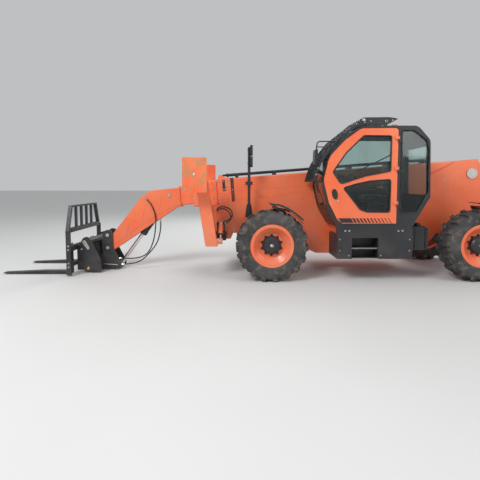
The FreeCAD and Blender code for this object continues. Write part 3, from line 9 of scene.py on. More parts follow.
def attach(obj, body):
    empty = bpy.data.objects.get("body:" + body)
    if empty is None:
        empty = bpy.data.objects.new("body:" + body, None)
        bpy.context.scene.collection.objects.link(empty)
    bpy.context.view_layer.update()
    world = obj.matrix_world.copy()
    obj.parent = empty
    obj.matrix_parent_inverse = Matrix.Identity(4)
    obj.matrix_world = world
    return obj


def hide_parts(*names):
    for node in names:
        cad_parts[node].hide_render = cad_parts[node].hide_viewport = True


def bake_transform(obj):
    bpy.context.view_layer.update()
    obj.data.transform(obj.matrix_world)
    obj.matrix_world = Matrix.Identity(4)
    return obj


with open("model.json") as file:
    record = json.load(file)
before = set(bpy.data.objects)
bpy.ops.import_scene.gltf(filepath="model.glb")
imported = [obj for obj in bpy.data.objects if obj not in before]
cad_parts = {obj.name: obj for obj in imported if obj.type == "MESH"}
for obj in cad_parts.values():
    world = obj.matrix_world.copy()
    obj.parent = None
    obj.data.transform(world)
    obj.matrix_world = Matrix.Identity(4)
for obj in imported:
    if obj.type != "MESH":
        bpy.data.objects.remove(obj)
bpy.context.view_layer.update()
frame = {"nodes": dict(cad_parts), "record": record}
record = frame["record"]
scene = bpy.context.scene
scene.view_settings.view_transform = "Standard"


# Camera: where the photographer stood, level with the cab door and tilted a little down

CAMERA_PLACE = Vector((-0.365, -7.455, 1.566))
CAMERA_TILT = math.radians(4.1)
FOCAL_PIXELS = 394
PICTURE_SIDE = 480
HORIZON_SHIFT_PIXELS = 26

camera_data = bpy.data.cameras.new("camera")
camera_data.sensor_width = 36
camera_data.lens = camera_data.sensor_width * FOCAL_PIXELS / PICTURE_SIDE
camera_data.shift_y = -HORIZON_SHIFT_PIXELS / PICTURE_SIDE
camera = bpy.data.objects.new("camera", camera_data)
camera.location = CAMERA_PLACE
camera.rotation_euler = (math.pi / 2 - CAMERA_TILT, 0, 0)
scene.collection.objects.link(camera)
scene.camera = camera


# Node trees

class Surface:
    """A material with one principled shader, and short calls for the nodes that feed it."""

    def __init__(self, name, roughness=0.5, metallic=0.0, **sockets):
        self.material = bpy.data.materials.new(name)
        self.material.use_nodes = True
        self.tree = self.material.node_tree
        self.shader = self.tree.nodes["Principled BSDF"]
        self.shader.inputs["Roughness"].default_value = roughness
        self.shader.inputs["Metallic"].default_value = metallic
        for socket, value in sockets.items():
            self.shader.inputs[socket.replace("_", " ")].default_value = value
        self.place = self.node("TexCoord").outputs["Object"]
        self.normal = self.node("NewGeometry").outputs["Normal"]

    def node(self, kind, **settings):
        made = self.tree.nodes.new("ShaderNode" + kind)
        for name, value in settings.items():
            setattr(made, name, value)
        return made

    def feed(self, socket, value):
        if hasattr(value, "is_output"):
            self.tree.links.new(value, socket)
        else:
            socket.default_value = value

    def math(self, operation, first, second=0.0, clamp=False):
        made = self.node("Math", operation=operation, use_clamp=clamp)
        self.feed(made.inputs[0], first)
        self.feed(made.inputs[1], second)
        return made.outputs[0]

    def stretched(self, x, y, z):
        made = self.node("Mapping")
        self.feed(made.inputs["Vector"], self.place)
        made.inputs["Scale"].default_value = (x, y, z)
        return made.outputs[0]

    def noise(self, scale, detail=4.0, place=None):
        made = self.node("TexNoise")
        self.feed(made.inputs["Vector"], place or self.place)
        made.inputs["Scale"].default_value = scale
        made.inputs["Detail"].default_value = detail
        return made.outputs["Fac"]

    def cells(self, scale, feature="F1", place=None):
        made = self.node("TexVoronoi", feature=feature)
        self.feed(made.inputs["Vector"], place or self.place)
        made.inputs["Scale"].default_value = scale
        return made.outputs["Distance"]

    def spread(self, value, low, high, to_low=0.0, to_high=1.0):
        """The value's range from low to high as to_low to to_high, held at both ends."""
        made = self.node("MapRange")
        for socket, number in zip(made.inputs[:5], (value, low, high, to_low, to_high)):
            self.feed(socket, number)
        return made.outputs[0]

    def mix(self, share, first, second):
        made = self.node("Mix", data_type="RGBA")
        self.feed(made.inputs["Factor"], share)
        self.feed(made.inputs[6], first)
        self.feed(made.inputs[7], second)
        return made.outputs[2]

    def upward(self):
        """One on faces that look up, zero on walls."""
        parts = self.node("SeparateXYZ")
        self.feed(parts.inputs[0], self.normal)
        return self.spread(parts.outputs["Z"], 0.3, 0.9)

    def height(self, low, high):
        """One at the low height and below, zero at the high one."""
        parts = self.node("SeparateXYZ")
        self.feed(parts.inputs[0], self.place)
        return self.spread(parts.outputs["Z"], low, high, 1.0, 0.0)

    def edges(self, radius):
        """One along sharp edges, within about the radius."""
        soft = self.node("Bevel", samples=4)
        soft.inputs["Radius"].default_value = radius
        turn = self.node("VectorMath", operation="DOT_PRODUCT")
        self.feed(turn.inputs[0], soft.outputs[0])
        self.feed(turn.inputs[1], self.normal)
        return self.spread(turn.outputs["Value"], 0.93, 0.7)

    def bump(self, height, depth, under=None):
        made = self.node("Bump")
        made.inputs["Distance"].default_value = depth
        self.feed(made.inputs["Height"], height)
        if under is not None:
            self.feed(made.inputs["Normal"], under)
        return made.outputs[0]

    def finish(self, colour=None, roughness=None, normal=None):
        for socket, value in (("Base Color", colour), ("Roughness", roughness), ("Normal", normal)):
            if value is not None:
                self.feed(self.shader.inputs[socket], value)
        return self.material


ORANGE = (0.86, 0.135, 0.043, 1)
ORANGE_FADED = (0.90, 0.205, 0.080, 1)
DUST = (0.36, 0.29, 0.22, 1)
BLACK = (0.012, 0.013, 0.016, 1)
RUST = (0.16, 0.055, 0.022, 1)
BARE_STEEL = (0.42, 0.41, 0.39, 1)


def enamel(name, colour, faded, dust_share=0.35, chip_share=0.5):
    """Sprayed machine enamel: orange peel, sheet waves, rain streaks, settled dust and chipped edges."""
    s = Surface(name, Coat_Weight=0.25, Coat_Roughness=0.12)
    tone = s.mix(s.spread(s.noise(1.7), 0.35, 0.7), colour, faded)
    streaks = s.spread(s.noise(6, place=s.stretched(5, 5, 0.35)), 0.52, 0.75)
    low = s.math("MULTIPLY", s.height(0.2, 1.5), s.spread(s.noise(5, 8), 0.35, 0.75))
    settled = s.math("MULTIPLY", s.upward(), s.spread(s.noise(9, 6), 0.3, 0.7, 0.35, 1.0))
    dirt = s.math("MULTIPLY", s.math("MAXIMUM", s.math("MAXIMUM", low, settled), s.math("MULTIPLY", streaks, 0.4)),
                  dust_share)
    dusty = s.mix(dirt, tone, DUST)
    chips = s.math("MULTIPLY", s.edges(0.004), s.spread(s.noise(45, 8), 0.56, 0.62))
    specks = s.spread(s.cells(38), 0.075, 0.055, 0.0, 0.5)
    specks = s.math("MULTIPLY", specks, s.spread(s.noise(2.5), 0.55, 0.6))
    worn = s.math("MULTIPLY", s.math("MAXIMUM", chips, specks), chip_share)
    shade = s.mix(worn, dusty, RUST)
    rough = s.math("ADD", s.spread(s.noise(14, 6), 0.3, 0.7, 0.24, 0.4), s.math("MULTIPLY", dirt, 0.7))
    peel = s.bump(s.noise(420, 2), 0.0002)
    waves = s.bump(s.noise(2.6, 1), 0.004, peel)
    return s.finish(shade, rough, s.bump(s.math("SUBTRACT", 1.0, worn), 0.0003, waves))


def scuffed_sole():
    """Enamel of the stabilizer legs, rubbed to brown primer and scratched over the soles' faces."""
    material = enamel("stabilizer_paint", ORANGE, ORANGE_FADED, 0.5, 0.9)
    s = Surface("scratch")
    bpy.data.materials.remove(s.material)
    s.material, s.tree = material, material.node_tree
    s.shader = s.tree.nodes["Principled BSDF"]
    s.place = s.node("TexCoord").outputs["Object"]
    paint = s.shader.inputs["Base Color"].links[0].from_socket
    parts = s.node("SeparateXYZ")
    s.feed(parts.inputs[0], s.place)
    face = s.spread(s.math("ABSOLUTE", parts.outputs["Y"]), 1.146, 1.149)
    rubbed = s.spread(s.noise(7, 10), 0.47, 0.60)
    scratches = s.spread(s.noise(16, 3, s.stretched(1, 1, 9)), 0.66, 0.70)
    share = s.math("MULTIPLY", face, s.math("MAXIMUM", rubbed, scratches))
    s.feed(s.shader.inputs["Base Color"], s.mix(s.math("MULTIPLY", share, 0.62), paint, (0.42, 0.24, 0.10, 1)))
    return material


def powder_coat(name="black_paint", colour=BLACK, worn_share=0.6, roughness=0.38):
    """Black textured coat with pale scuffs along the edges and dust on what looks up."""
    s = Surface(name)
    settled = s.math("MULTIPLY", s.upward(), s.spread(s.noise(7, 8), 0.35, 0.75))
    low = s.math("MULTIPLY", s.height(0.1, 1.1), s.spread(s.noise(4, 8), 0.4, 0.8))
    dirt = s.math("MULTIPLY", s.math("MAXIMUM", settled, low), 0.16)
    scuffs = s.math("MULTIPLY", s.edges(0.005), s.spread(s.noise(38, 8), 0.52, 0.62))
    scuffs = s.math("MULTIPLY", scuffs, worn_share)
    shade = s.mix(scuffs, s.mix(dirt, s.mix(s.noise(3), colour, (0.03, 0.032, 0.036, 1)), DUST), BARE_STEEL)
    rough = s.math("ADD", s.spread(s.noise(20, 5), 0.3, 0.7, roughness - 0.06, roughness + 0.1), dirt)
    grain = s.bump(s.noise(300, 3), 0.0003)
    return s.finish(shade, rough, s.bump(s.noise(3, 1), 0.003, grain))


def tyre_rubber():
    """Weathered rubber: grey bloom, dried mud in the low places and fine crazing."""
    s = Surface("tyre", 0.8)
    bloom = s.mix(s.spread(s.noise(3, 8), 0.3, 0.75), (0.030, 0.030, 0.031, 1), (0.085, 0.080, 0.078, 1))
    mud = s.math("MULTIPLY", s.spread(s.noise(11, 10), 0.5, 0.68), 0.55)
    shade = s.mix(mud, bloom, (0.20, 0.165, 0.13, 1))
    crazing = s.bump(s.cells(210, "DISTANCE_TO_EDGE"), 0.0004)
    return s.finish(shade, s.spread(s.noise(8), 0.3, 0.7, 0.68, 0.92), s.bump(s.noise(60, 6), 0.0012, crazing))


def hard_chrome():
    """Ground and polished rod with a film of oil."""
    s = Surface("rod_chrome", metallic=1.0)
    film = s.spread(s.noise(9, 5), 0.4, 0.7)
    grind = s.noise(90, 2, s.stretched(1, 1, 30))
    return s.finish(s.mix(film, (0.78, 0.78, 0.79, 1), (0.60, 0.57, 0.52, 1)),
                    s.spread(film, 0, 1, 0.08, 0.26), s.bump(grind, 0.00003))


def plated_steel():
    """Zinc-plated pins and screws with a yellowish cast and light rust."""
    s = Surface("pin_steel", metallic=0.9)
    rust = s.spread(s.noise(70, 8), 0.55, 0.72, 0.0, 0.6)
    shade = s.mix(rust, s.mix(s.noise(25), (0.62, 0.60, 0.53, 1), (0.45, 0.45, 0.44, 1)), RUST)
    return s.finish(shade, s.spread(s.noise(40, 5), 0.3, 0.7, 0.25, 0.5), s.bump(s.noise(300), 0.0002))


def bronze_bush():
    """Greased bronze, dull where it is dry."""
    s = Surface("bronze", metallic=0.8)
    shade = s.mix(s.noise(30), (0.72, 0.42, 0.17, 1), (0.55, 0.33, 0.15, 1))
    return s.finish(shade, s.spread(s.noise(40, 5), 0.3, 0.7, 0.3, 0.5), s.bump(s.noise(300), 0.0002))


def window_glass():
    """Tinted safety glass with dust drying in from its edge."""
    s = Surface("window_glass", 0.04, Transmission_Weight=1.0, IOR=1.5)
    film = s.spread(s.noise(4, 8), 0.45, 0.8, 0.0, 0.35)
    return s.finish(s.mix(film, (0.66, 0.80, 0.77, 1), (0.58, 0.62, 0.60, 1)), s.spread(film, 0, 1, 0.02, 0.25))


def cast_iron():
    s = Surface("engine_iron", 0.6, metallic=0.3)
    oil = s.spread(s.noise(6, 8), 0.45, 0.7)
    return s.finish(s.mix(oil, (0.10, 0.10, 0.10, 1), (0.02, 0.018, 0.015, 1)),
                    s.spread(oil, 0, 1, 0.7, 0.3), s.bump(s.noise(140, 6), 0.001))


def woven_cover():
    """Seat cloth: crossed threads with a little fading."""
    s = Surface("seat_cover", 0.95, Sheen_Weight=0.35)
    warp = s.node("TexWave", bands_direction="X")
    weft = s.node("TexWave", bands_direction="Z")
    for threads in (warp, weft):
        s.feed(threads.inputs["Vector"], s.place)
        threads.inputs["Scale"].default_value = 160
    weave = s.math("MULTIPLY", warp.outputs["Fac"], weft.outputs["Fac"])
    shade = s.mix(weave, (0.010, 0.010, 0.012, 1), s.mix(s.noise(5), (0.035, 0.035, 0.04, 1), (0.06, 0.06, 0.065, 1)))
    return s.finish(shade, None, s.bump(weave, 0.0006))


def moulded_plastic():
    s = Surface("cab_plastic")
    shade = s.mix(s.noise(6), (0.028, 0.029, 0.031, 1), (0.05, 0.051, 0.053, 1))
    return s.finish(shade, s.spread(s.noise(30), 0.3, 0.7, 0.42, 0.6), s.bump(s.cells(700), 0.00025))


def lens(name, colour, deep):
    """Moulded lamp lens with its inner ribs."""
    s = Surface(name, 0.12, Coat_Weight=0.6, Subsurface_Weight=0.15)
    ribs = s.node("TexWave", bands_direction="X")
    s.feed(ribs.inputs["Vector"], s.place)
    ribs.inputs["Scale"].default_value = 60
    return s.finish(s.mix(ribs.outputs["Fac"], deep, colour), s.spread(s.noise(20), 0.3, 0.7, 0.08, 0.2),
                    s.bump(ribs.outputs["Fac"], 0.0006))


def hose_rubber():
    """Hose cover with its wrapped-cloth imprint."""
    s = Surface("hose_rubber", 0.6)
    shade = s.mix(s.spread(s.noise(12, 6), 0.4, 0.7), (0.012, 0.012, 0.013, 1), (0.05, 0.045, 0.04, 1))
    return s.finish(shade, s.spread(s.noise(30), 0.3, 0.7, 0.45, 0.7), s.bump(s.cells(500), 0.0003))


FINISHES = {
    "orange_paint": enamel("orange_paint", ORANGE, ORANGE_FADED),
    "black_paint": powder_coat(),
    "tyre": tyre_rubber(),
    "rod_chrome": hard_chrome(),
    "pin_steel": plated_steel(),
    "bronze": bronze_bush(),
    "window_glass": window_glass(),
    "engine_iron": cast_iron(),
    "seat_cover": woven_cover(),
    "cab_plastic": moulded_plastic(),
    "red_lens": lens("red_lens", (0.60, 0.012, 0.012, 1), (0.22, 0.003, 0.003, 1)),
    "amber_lens": lens("amber_lens", (0.95, 0.34, 0.02, 1), (0.55, 0.12, 0.005, 1)),
    "hose_rubber": hose_rubber(),
}

for part in record["subparts"]:
    node = frame["nodes"][part["node"]]
    node.data.materials.clear()
    node.data.materials.append(FINISHES[part["material_slot"]])

SOLE_PAINT = scuffed_sole()
for side in ("left", "right"):
    frame["nodes"][f"stabilizer_leg_{side}"].data.materials[0] = SOLE_PAINT


# Forms that the added pieces are made of, in millimetres

PIVOT = Vector((3.855, 0, 1.79))
BOOM_SLOPE = math.radians(4.42)
FRONT_AXLE = 155
REAR_AXLE = 3400
COUPLER_PIN = Vector((-2.829739, 0, 0.412731))
SIDES = (("left", -1), ("right", 1))
TYRE_MIDDLE = 975
AXLE_HEIGHT = 590


def spot(x, y, z):
    """A place from its distance behind the front axle, right of the middle and above the ground."""
    return Vector((FRONT_AXLE + x, y, z)) / 1000


def boom_spot(x, y, z):
    """A place along, beside and across the parked boom, from its pivot."""
    along, over = math.cos(BOOM_SLOPE), math.sin(BOOM_SLOPE)
    return PIVOT + Vector((x * along - z * over, y, x * over + z * along)) / 1000


def coupler_spot(x, y, z):
    return COUPLER_PIN + Vector((x, y, z)) / 1000


def side_view(place, y):
    """Turns (u, v) of a side view, with a depth outward from y, into a place."""
    return lambda u, v, depth=0.0: place(u, y + math.copysign(depth, y), v)


def rounded(corners, steps=6):
    """Points of a closed outline. A corner is (u, v), or (u, v, radius) when it is rounded."""
    points = []
    for place, corner in enumerate(corners):
        here = Vector(corner[:2])
        if len(corner) == 2:
            points.append(here)
            continue
        back = (Vector(corners[place - 1][:2]) - here).normalized()
        onward = (Vector(corners[(place + 1) % len(corners)][:2]) - here).normalized()
        reach = corner[2] / math.tan(back.angle(onward) / 2)
        first, last = here + back * reach, here + onward * reach
        for step in range(steps + 1):
            t = step / steps
            points.append(first * (1 - t) ** 2 + here * (2 * t * (1 - t)) + last * t * t)
    return points


def smooth_route(knots, steps=8):
    """Points of one smooth curve through the knots."""
    knots = [Vector(knot) for knot in knots]
    points = []
    for place in range(len(knots) - 1):
        first, second = knots[place], knots[place + 1]
        before = knots[place - 1] if place else first * 2 - second
        after = knots[place + 2] if place + 2 < len(knots) else second * 2 - first
        for step in range(steps):
            t = step / steps
            points.append(0.5 * ((2 * first) + (second - before) * t
                                 + (2 * before - 5 * first + 4 * second - after) * t ** 2
                                 + (3 * first - before - 3 * second + after) * t ** 3))
    return points + [knots[-1]]


class Shape:
    """A mesh that grows by turned, swept and flat forms."""

    def __init__(self):
        self.mesh = bmesh.new()

    def bridge(self, low, high):
        count = max(len(low), len(high))
        for step in range(count):
            after = (step + 1) % count
            corners = [low[step % len(low)], low[after % len(low)], high[after % len(high)], high[step % len(high)]]
            self.mesh.faces.new(list(dict.fromkeys(corners)))

    def turned(self, profile, at, axis, steps=20, squeeze=1.0, spin=0.0):
        """Turned form from (radius, along) pairs, about an axis through the place."""
        turn = Vector(axis).to_track_quat("Z", "Y")
        rings = []
        for radius, along in profile:
            angles = [2 * math.pi * step / steps + spin for step in range(steps if radius else 1)]
            rings.append([self.mesh.verts.new(at + turn @ Vector(
                (radius * math.cos(angle), squeeze * radius * math.sin(angle), along)) / 1000) for angle in angles])
        for low, high in zip(rings, rings[1:]):
            self.bridge(low, high)
        return self

    def swept(self, points, radius, sides=10, closed=False, flat=1.0):
        """Rod along places, round or flattened."""
        count, rings, normal = len(points), [], None
        for place, point in enumerate(points):
            back = points[place - 1] if place or closed else point
            onward = points[(place + 1) % count] if place < count - 1 or closed else point
            along = (onward - back).normalized()
            normal = along.orthogonal() if normal is None else normal
            normal = (normal - along * normal.dot(along)).normalized()
            beside = along.cross(normal) * flat
            rings.append([self.mesh.verts.new(point + (normal * math.cos(angle) + beside * math.sin(angle))
                                              * radius / 1000)
                          for angle in (2 * math.pi * side / sides for side in range(sides))])
        for low, high in zip(rings, rings[1:] + (rings[:1] if closed else [])):
            self.bridge(low, high)
        if not closed:
            self.mesh.faces.new(rings[0])
            self.mesh.faces.new(rings[-1])
        return self

    def plate(self, corners, place, start, end):
        """Flat form between two depths of a view."""
        rings = [[self.mesh.verts.new(place(u, v, depth)) for u, v in corners] for depth in (start, end)]
        self.bridge(*rings)
        for ring in rings:
            self.mesh.faces.new(ring)
        return self

    def bolt(self, at, axis, across=22):
        """Hexagon head with its chamfer, on a washer."""
        self.turned([(0, 0), (across * 0.8, 0), (across * 0.8, across * 0.1), (across * 0.74, across * 0.14),
                     (0, across * 0.14)], at, axis, 16)
        self.turned([(across * 0.57, across * 0.14), (across * 0.57, across * 0.58),
                     (across * 0.47, across * 0.7), (0, across * 0.7)], at, axis, 6)
        return self

    def pin_end(self, at, axis, radius):
        """End of a pin with its chamfer and a shallow recess in its face."""
        self.turned([(radius, 0), (radius, 5), (radius - 4, 9), (radius * 0.3, 9), (radius * 0.24, 6), (0, 6)],
                    at, axis, 24)
        return self

    def done(self, name, body, slot, bevel=0.0, finish=None):
        bmesh.ops.recalc_face_normals(self.mesh, faces=self.mesh.faces)
        data = bpy.data.meshes.new(name)
        self.mesh.to_mesh(data)
        self.mesh.free()
        data.shade_smooth()
        data.set_sharp_from_angle(angle=math.radians(32))
        data.materials.append(finish or FINISHES[slot])
        piece = bpy.data.objects.new(name, data)
        scene.collection.objects.link(piece)
        if bevel:
            rounding = piece.modifiers.new("Rounding", "BEVEL")
            rounding.width, rounding.segments, rounding.limit_method = bevel / 1000, 2, "ANGLE"
        if body:
            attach(piece, body)
        return piece


# Wheels

def wheel_trim(name, body, axle_x, out):
    """Wheel nuts on their studs, hub cover screws, centre plug, tyre valve and sidewall rings."""
    axis = (0, out, 0)
    nuts, hub, plug, rings = Shape(), Shape(), Shape(), Shape()

    def on_wheel(radius, degrees, reach):
        angle = math.radians(degrees)
        return spot(axle_x + radius * math.cos(angle), out * (TYRE_MIDDLE + reach),
                    AXLE_HEIGHT + radius * math.sin(angle))

    for step in range(10):
        foot = on_wheel(166, 36 * step + 18, 35)
        nuts.bolt(foot, axis, 28)
        nuts.turned([(9, 10), (9, 30), (6, 34), (0, 34)], foot, axis, 10)
    nuts.done(f"wheel_nuts_{name}", body, "black_paint")
    cover = Shape().turned([(157, 0.4), (157, 3), (142, 5), (142, 56), (116.5, 82.5), (55.5, 96.5), (0, 96.5)],
                           on_wheel(0, 0, 35), axis, 48)
    cover.done(f"hub_cover_{name}", body, "black_paint")
    for step in range(8):
        hub.turned([(9, -3), (9, 7), (7, 9), (4, 9), (4, 4), (0, 4)], on_wheel(86, 45 * step, 125.5), axis, 12)
    plug.turned([(30, -2), (30, 4), (22, 8), (20, 13), (9, 15), (0, 15)], on_wheel(0, 0, 131.5), axis, 24, 0.8)
    hub.turned([(13, -4), (13, 6), (10, 8), (0, 8)], on_wheel(52, 200, 131.5), axis, 6)
    hub.done(f"hub_screws_{name}", body, "black_paint")
    plug.done(f"hub_plug_{name}", body, "pin_steel")
    stem = on_wheel(284, 9, 92)
    valve = Shape().turned([(11, 0), (11, 8), (6, 12), (6, 34), (8, 36), (8, 50), (5, 53), (0, 53)], stem, axis, 12)
    valve.done(f"tyre_valve_{name}", body, "pin_steel")
    for side in (1, -1):
        for radius, reach in ((398, 196.2), (408, 196.8), (436, 198.4)):
            loop = [on_wheel(radius, 360 * step / 96, side * reach) for step in range(96)]
            rings.swept(loop, 1.5, 6, closed=True)
    rings.done(f"sidewall_rings_{name}", body, "tyre")


for end, axle_x in (("front", 0), ("rear", REAR_AXLE)):
    for side, out in SIDES:
        wheel_trim(f"{end}_{side}", f"{end}_{side}_wheel", axle_x, out)


# Boom: heads, seams, straps and the gooseneck

SECTION_BODIES = ("boom_lower", "boom_second", "boom_third", "boom_fourth")
SECTION_HALF_WIDTHS = (180, 155, 132, 109)
SECTION_TOPS = (255, 223, 193, 163)
SECTION_LOWS = (-225, -207, -191, -175)
HEAD_FRONTS = (-4640, -4875, -5110)
HEAD_LENGTHS = (245, 215, 215)
FLANGE = -5345


def head_trim(level):
    """Bolted pad holders round a section's head."""
    body, half = SECTION_BODIES[level], SECTION_HALF_WIDTHS[level] + 14
    front, length = HEAD_FRONTS[level], HEAD_LENGTHS[level]
    top, low = SECTION_TOPS[level] + 14, SECTION_LOWS[level] - 34
    bolts, plates = Shape(), Shape()
    for _, out in SIDES:
        view = side_view(boom_spot, out * half)
        for x in (front + 34, front + length - 34):
            for z in (low + 60, low + 150, top - 150, top - 60):
                bolts.bolt(boom_spot(x, out * half, z), (0, out, 0), 17)
        for z_low, z_high in ((low + 30, low + 180), (top - 180, top - 30)):
            pad = rounded([(front + 60, z_low, 8), (front + length - 62, z_low, 8),
                           (front + length - 62, z_high, 8), (front + 60, z_high, 8)], 3)
            plates.plate(pad, view, -1, 4)
            for x in (front + 78, front + length - 80):
                for z in (z_low + 24, z_high - 24):
                    bolts.bolt(boom_spot(x, out * (half + 4), z), (0, out, 0), 12)
    for x in (front + 50, front + length / 2, front + length - 40):
        for y in (-half + 60, half - 60):
            up = boom_spot(0, 0, 1) - boom_spot(0, 0, 0)
            bolts.bolt(boom_spot(x, y, top), up, 15)
    bolts.done(f"head_bolts_{level + 1}", body, "pin_steel")
    plates.done(f"pad_holders_{level + 1}", body, "orange_paint", 1.0)


for level in range(3):
    head_trim(level)


def boom_seams():
    """Weld beads along the sides of the boom sections."""
    for level, body in enumerate(SECTION_BODIES):
        bead = Shape()
        half = SECTION_HALF_WIDTHS[level]
        front = HEAD_FRONTS[level] + HEAD_LENGTHS[level] if level < 3 else FLANGE + 10
        tail = 165 if level == 0 else -100 * level - 180
        middle = (SECTION_TOPS[level] + SECTION_LOWS[level]) / 2
        for _, out in SIDES:
            route = [boom_spot(front + (tail - front) * step / 160, out * half,
                               middle + 1.2 * math.sin(step * 2.3)) for step in range(161)]
            bead.swept(route, 3.2, 6)
        bead.done(f"boom_seam_{level + 1}", body, "orange_paint")


boom_seams()


def boom_band():
    """Dark strap round the base section behind its head, with its buckle and tie."""
    band, tie = Shape(), Shape()
    low, top, half = SECTION_LOWS[0], SECTION_TOPS[0], SECTION_HALF_WIDTHS[0]
    loop = rounded([(-half - 3, low - 3, 20), (half + 3, low - 3, 20), (half + 3, top + 3, 20), (-half - 3, top + 3, 20)])
    for x in (-4385, -4365, -4345):
        band.swept([boom_spot(x, y, z) for y, z in loop], 10, 8, closed=True, flat=0.35)
    for _, out in SIDES:
        view = side_view(boom_spot, out * (half + 14))
        band.plate(rounded([(-4545, 30, 12), (-4497, 30, 12), (-4497, 235, 12), (-4545, 235, 12)], 4), view, 4, 9)
        for z in (60, 205):
            tie.bolt(boom_spot(-4521, out * (half + 23), z), (0, out, 0), 15)
        tie.turned([(13, 2), (13, 8), (8, 12), (0, 12)], boom_spot(-4366, out * half, 40), (0, out, 0), 12)
    band.done("boom_strap", "boom_lower", "black_paint", 0.8)
    tie.done("boom_strap_fasteners", "boom_lower", "pin_steel")


boom_band()


def neck_trim():
    """Welds and edge strips of the gooseneck, its pins, and the tilt cylinder's base fixing."""
    welds, strips, pins = Shape(), Shape(), Shape()
    half = 130
    for _, out in SIDES:
        for first, last in (((-2596, 867), (-2640, 640)), ((-2282, 1241), (-2349, 900)), ((-1966, 1395), (-2033, 1110))):
            start, stop = (spot(x, out * half, z) for x, z in (first, last))
            welds.swept([start.lerp(stop, step / 30) + Vector((0.0012 * math.sin(step * 2.1), 0, 0))
                         for step in range(31)], 5, 8)
        view = side_view(boom_spot, out * half)
        edge = [(FLANGE - 24, -146), (FLANGE - 450, -318), (FLANGE - 900, -560), (FLANGE - 1290, -812)]
        back = [(x + 14, z + 30) for x, z in reversed(edge)]
        strips.plate([Vector(corner) for corner in edge + back], view, -1, 5)
        up_plate = rounded([(FLANGE - 8, -195, 6), (FLANGE - 26, -195, 6), (FLANGE - 26, 160, 6), (FLANGE - 8, 160, 6)], 3)
        strips.plate(up_plate, view, -1, 4)
        for z in (-150, -50, 50, 130):
            pins.bolt(boom_spot(FLANGE - 17, out * (half + 4), z), (0, out, 0), 13)
        pins.pin_end(boom_spot(FLANGE - 200, out * 142, 27), (0, out, 0), 32)
        pins.pin_end(coupler_spot(0, out * 181, 0), (0, out, 0), 32)
        pins.bolt(boom_spot(FLANGE - 260, out * half, 60), (0, out, 0), 14)
    welds.done("neck_welds", "boom_fourth", "orange_paint")
    strips.done("neck_strips", "boom_fourth", "orange_paint", 1.0)
    pins.done("neck_pins", "boom_fourth", "pin_steel")


neck_trim()


def coupler_trim():
    """Latches, pins and screws of the coupler, and the fork carriage's post bolts."""
    pins, latch, bushes = Shape(), Shape(), Shape()
    for _, out in SIDES:
        pins.pin_end(coupler_spot(0, out * 181, 237), (0, out, 0), 34)
        pins.pin_end(coupler_spot(187, out * 96, -338), (0, out, 0), 30)
        view = side_view(coupler_spot, out * 455)
        pear = rounded([(-379, 150, 32), (-309, 196, 32), (-225, 32, 16), (-261, 8, 16)], 6)
        latch.plate(pear, view, -1, 9)
        pins.turned([(20, 8), (20, 18), (14, 24), (0, 24)], coupler_spot(-322, out * 455, 140), (0, out, 0), 20)
        bushes.turned([(27, 0), (27, 10), (21, 14), (0, 14)], coupler_spot(-262, out * 455, -329), (0, out, 0), 20)
        pins.turned([(16, 0), (16, 12), (11, 16), (0, 16)], coupler_spot(-372, out * 455, 20), (0, out, 0), 16)
        for z in (115, 50, -185, -250):
            pins.bolt(coupler_spot(-487, out * 750, z), (0, out, 0), 20)
        for y in (out * 560, out * 440):
            pins.turned([(9, 0), (9, 26), (6, 30), (0, 30)], coupler_spot(-548, y, 120), (0, 0, 1), 12)
    pins.swept([coupler_spot(-60, -200, -300), coupler_spot(60, -200, -306), coupler_spot(190, -200, -316)], 9, 10)
    pins.done("coupler_pins", "tool_coupler", "pin_steel")
    latch.done("coupler_latches", "tool_coupler", "pin_steel", 1.5)
    bushes.done("coupler_bushes", "tool_coupler", "pin_steel", finish=FINISHES["bronze"])


coupler_trim()


def cylinder_trim(name, barrel_body, rod_body, base, rod, barrel_end, radius, rod_radius, eye_half):
    """Gland, wiper, ports and feed pipe of a cylinder."""
    along = (rod - base).normalized()
    over = Vector((0, 1, 0)) if abs(along.y) < 0.5 else Vector((1, 0, 0))
    up = over.cross(along).normalized()
    end = base + along * barrel_end / 1000
    gland = Shape()
    gland.turned([(rod_radius + 2, 0), (radius * 1.02, 0), (radius * 1.02, 5), (rod_radius + 9, 9), (rod_radius + 2, 9)],
                 end, along, 28)
    for step in range(6):
        angle = math.radians(60 * step + 15)
        gland.turned([(radius * 0.1, 0), (radius * 0.1, 9), (radius * 0.05, 9), (radius * 0.05, 3), (0, 3)],
                     end + (over * math.cos(angle) + up * math.sin(angle)) * radius * 0.82 / 1000, along, 8)
    pipe = Shape()
    lift = radius * 1.12 + 9
    ports = [base + along * 0.12 + up * lift / 1000, end - along * 0.06 + up * lift / 1000]
    pipe.swept([ports[0] - up * 0.014, ports[0], ports[0].lerp(ports[1], 0.05), ports[0].lerp(ports[1], 0.95),
                ports[1], ports[1] - up * 0.014], 6, 10)
    for port in ports:
        pipe.turned([(13, -lift + radius * 0.9), (13, -4), (9, 2), (9, 9), (0, 9)], port, up, 6)
    gland.done(f"{name}_gland", barrel_body, "black_paint")
    pipe.done(f"{name}_feed_pipe", barrel_body, "pin_steel")


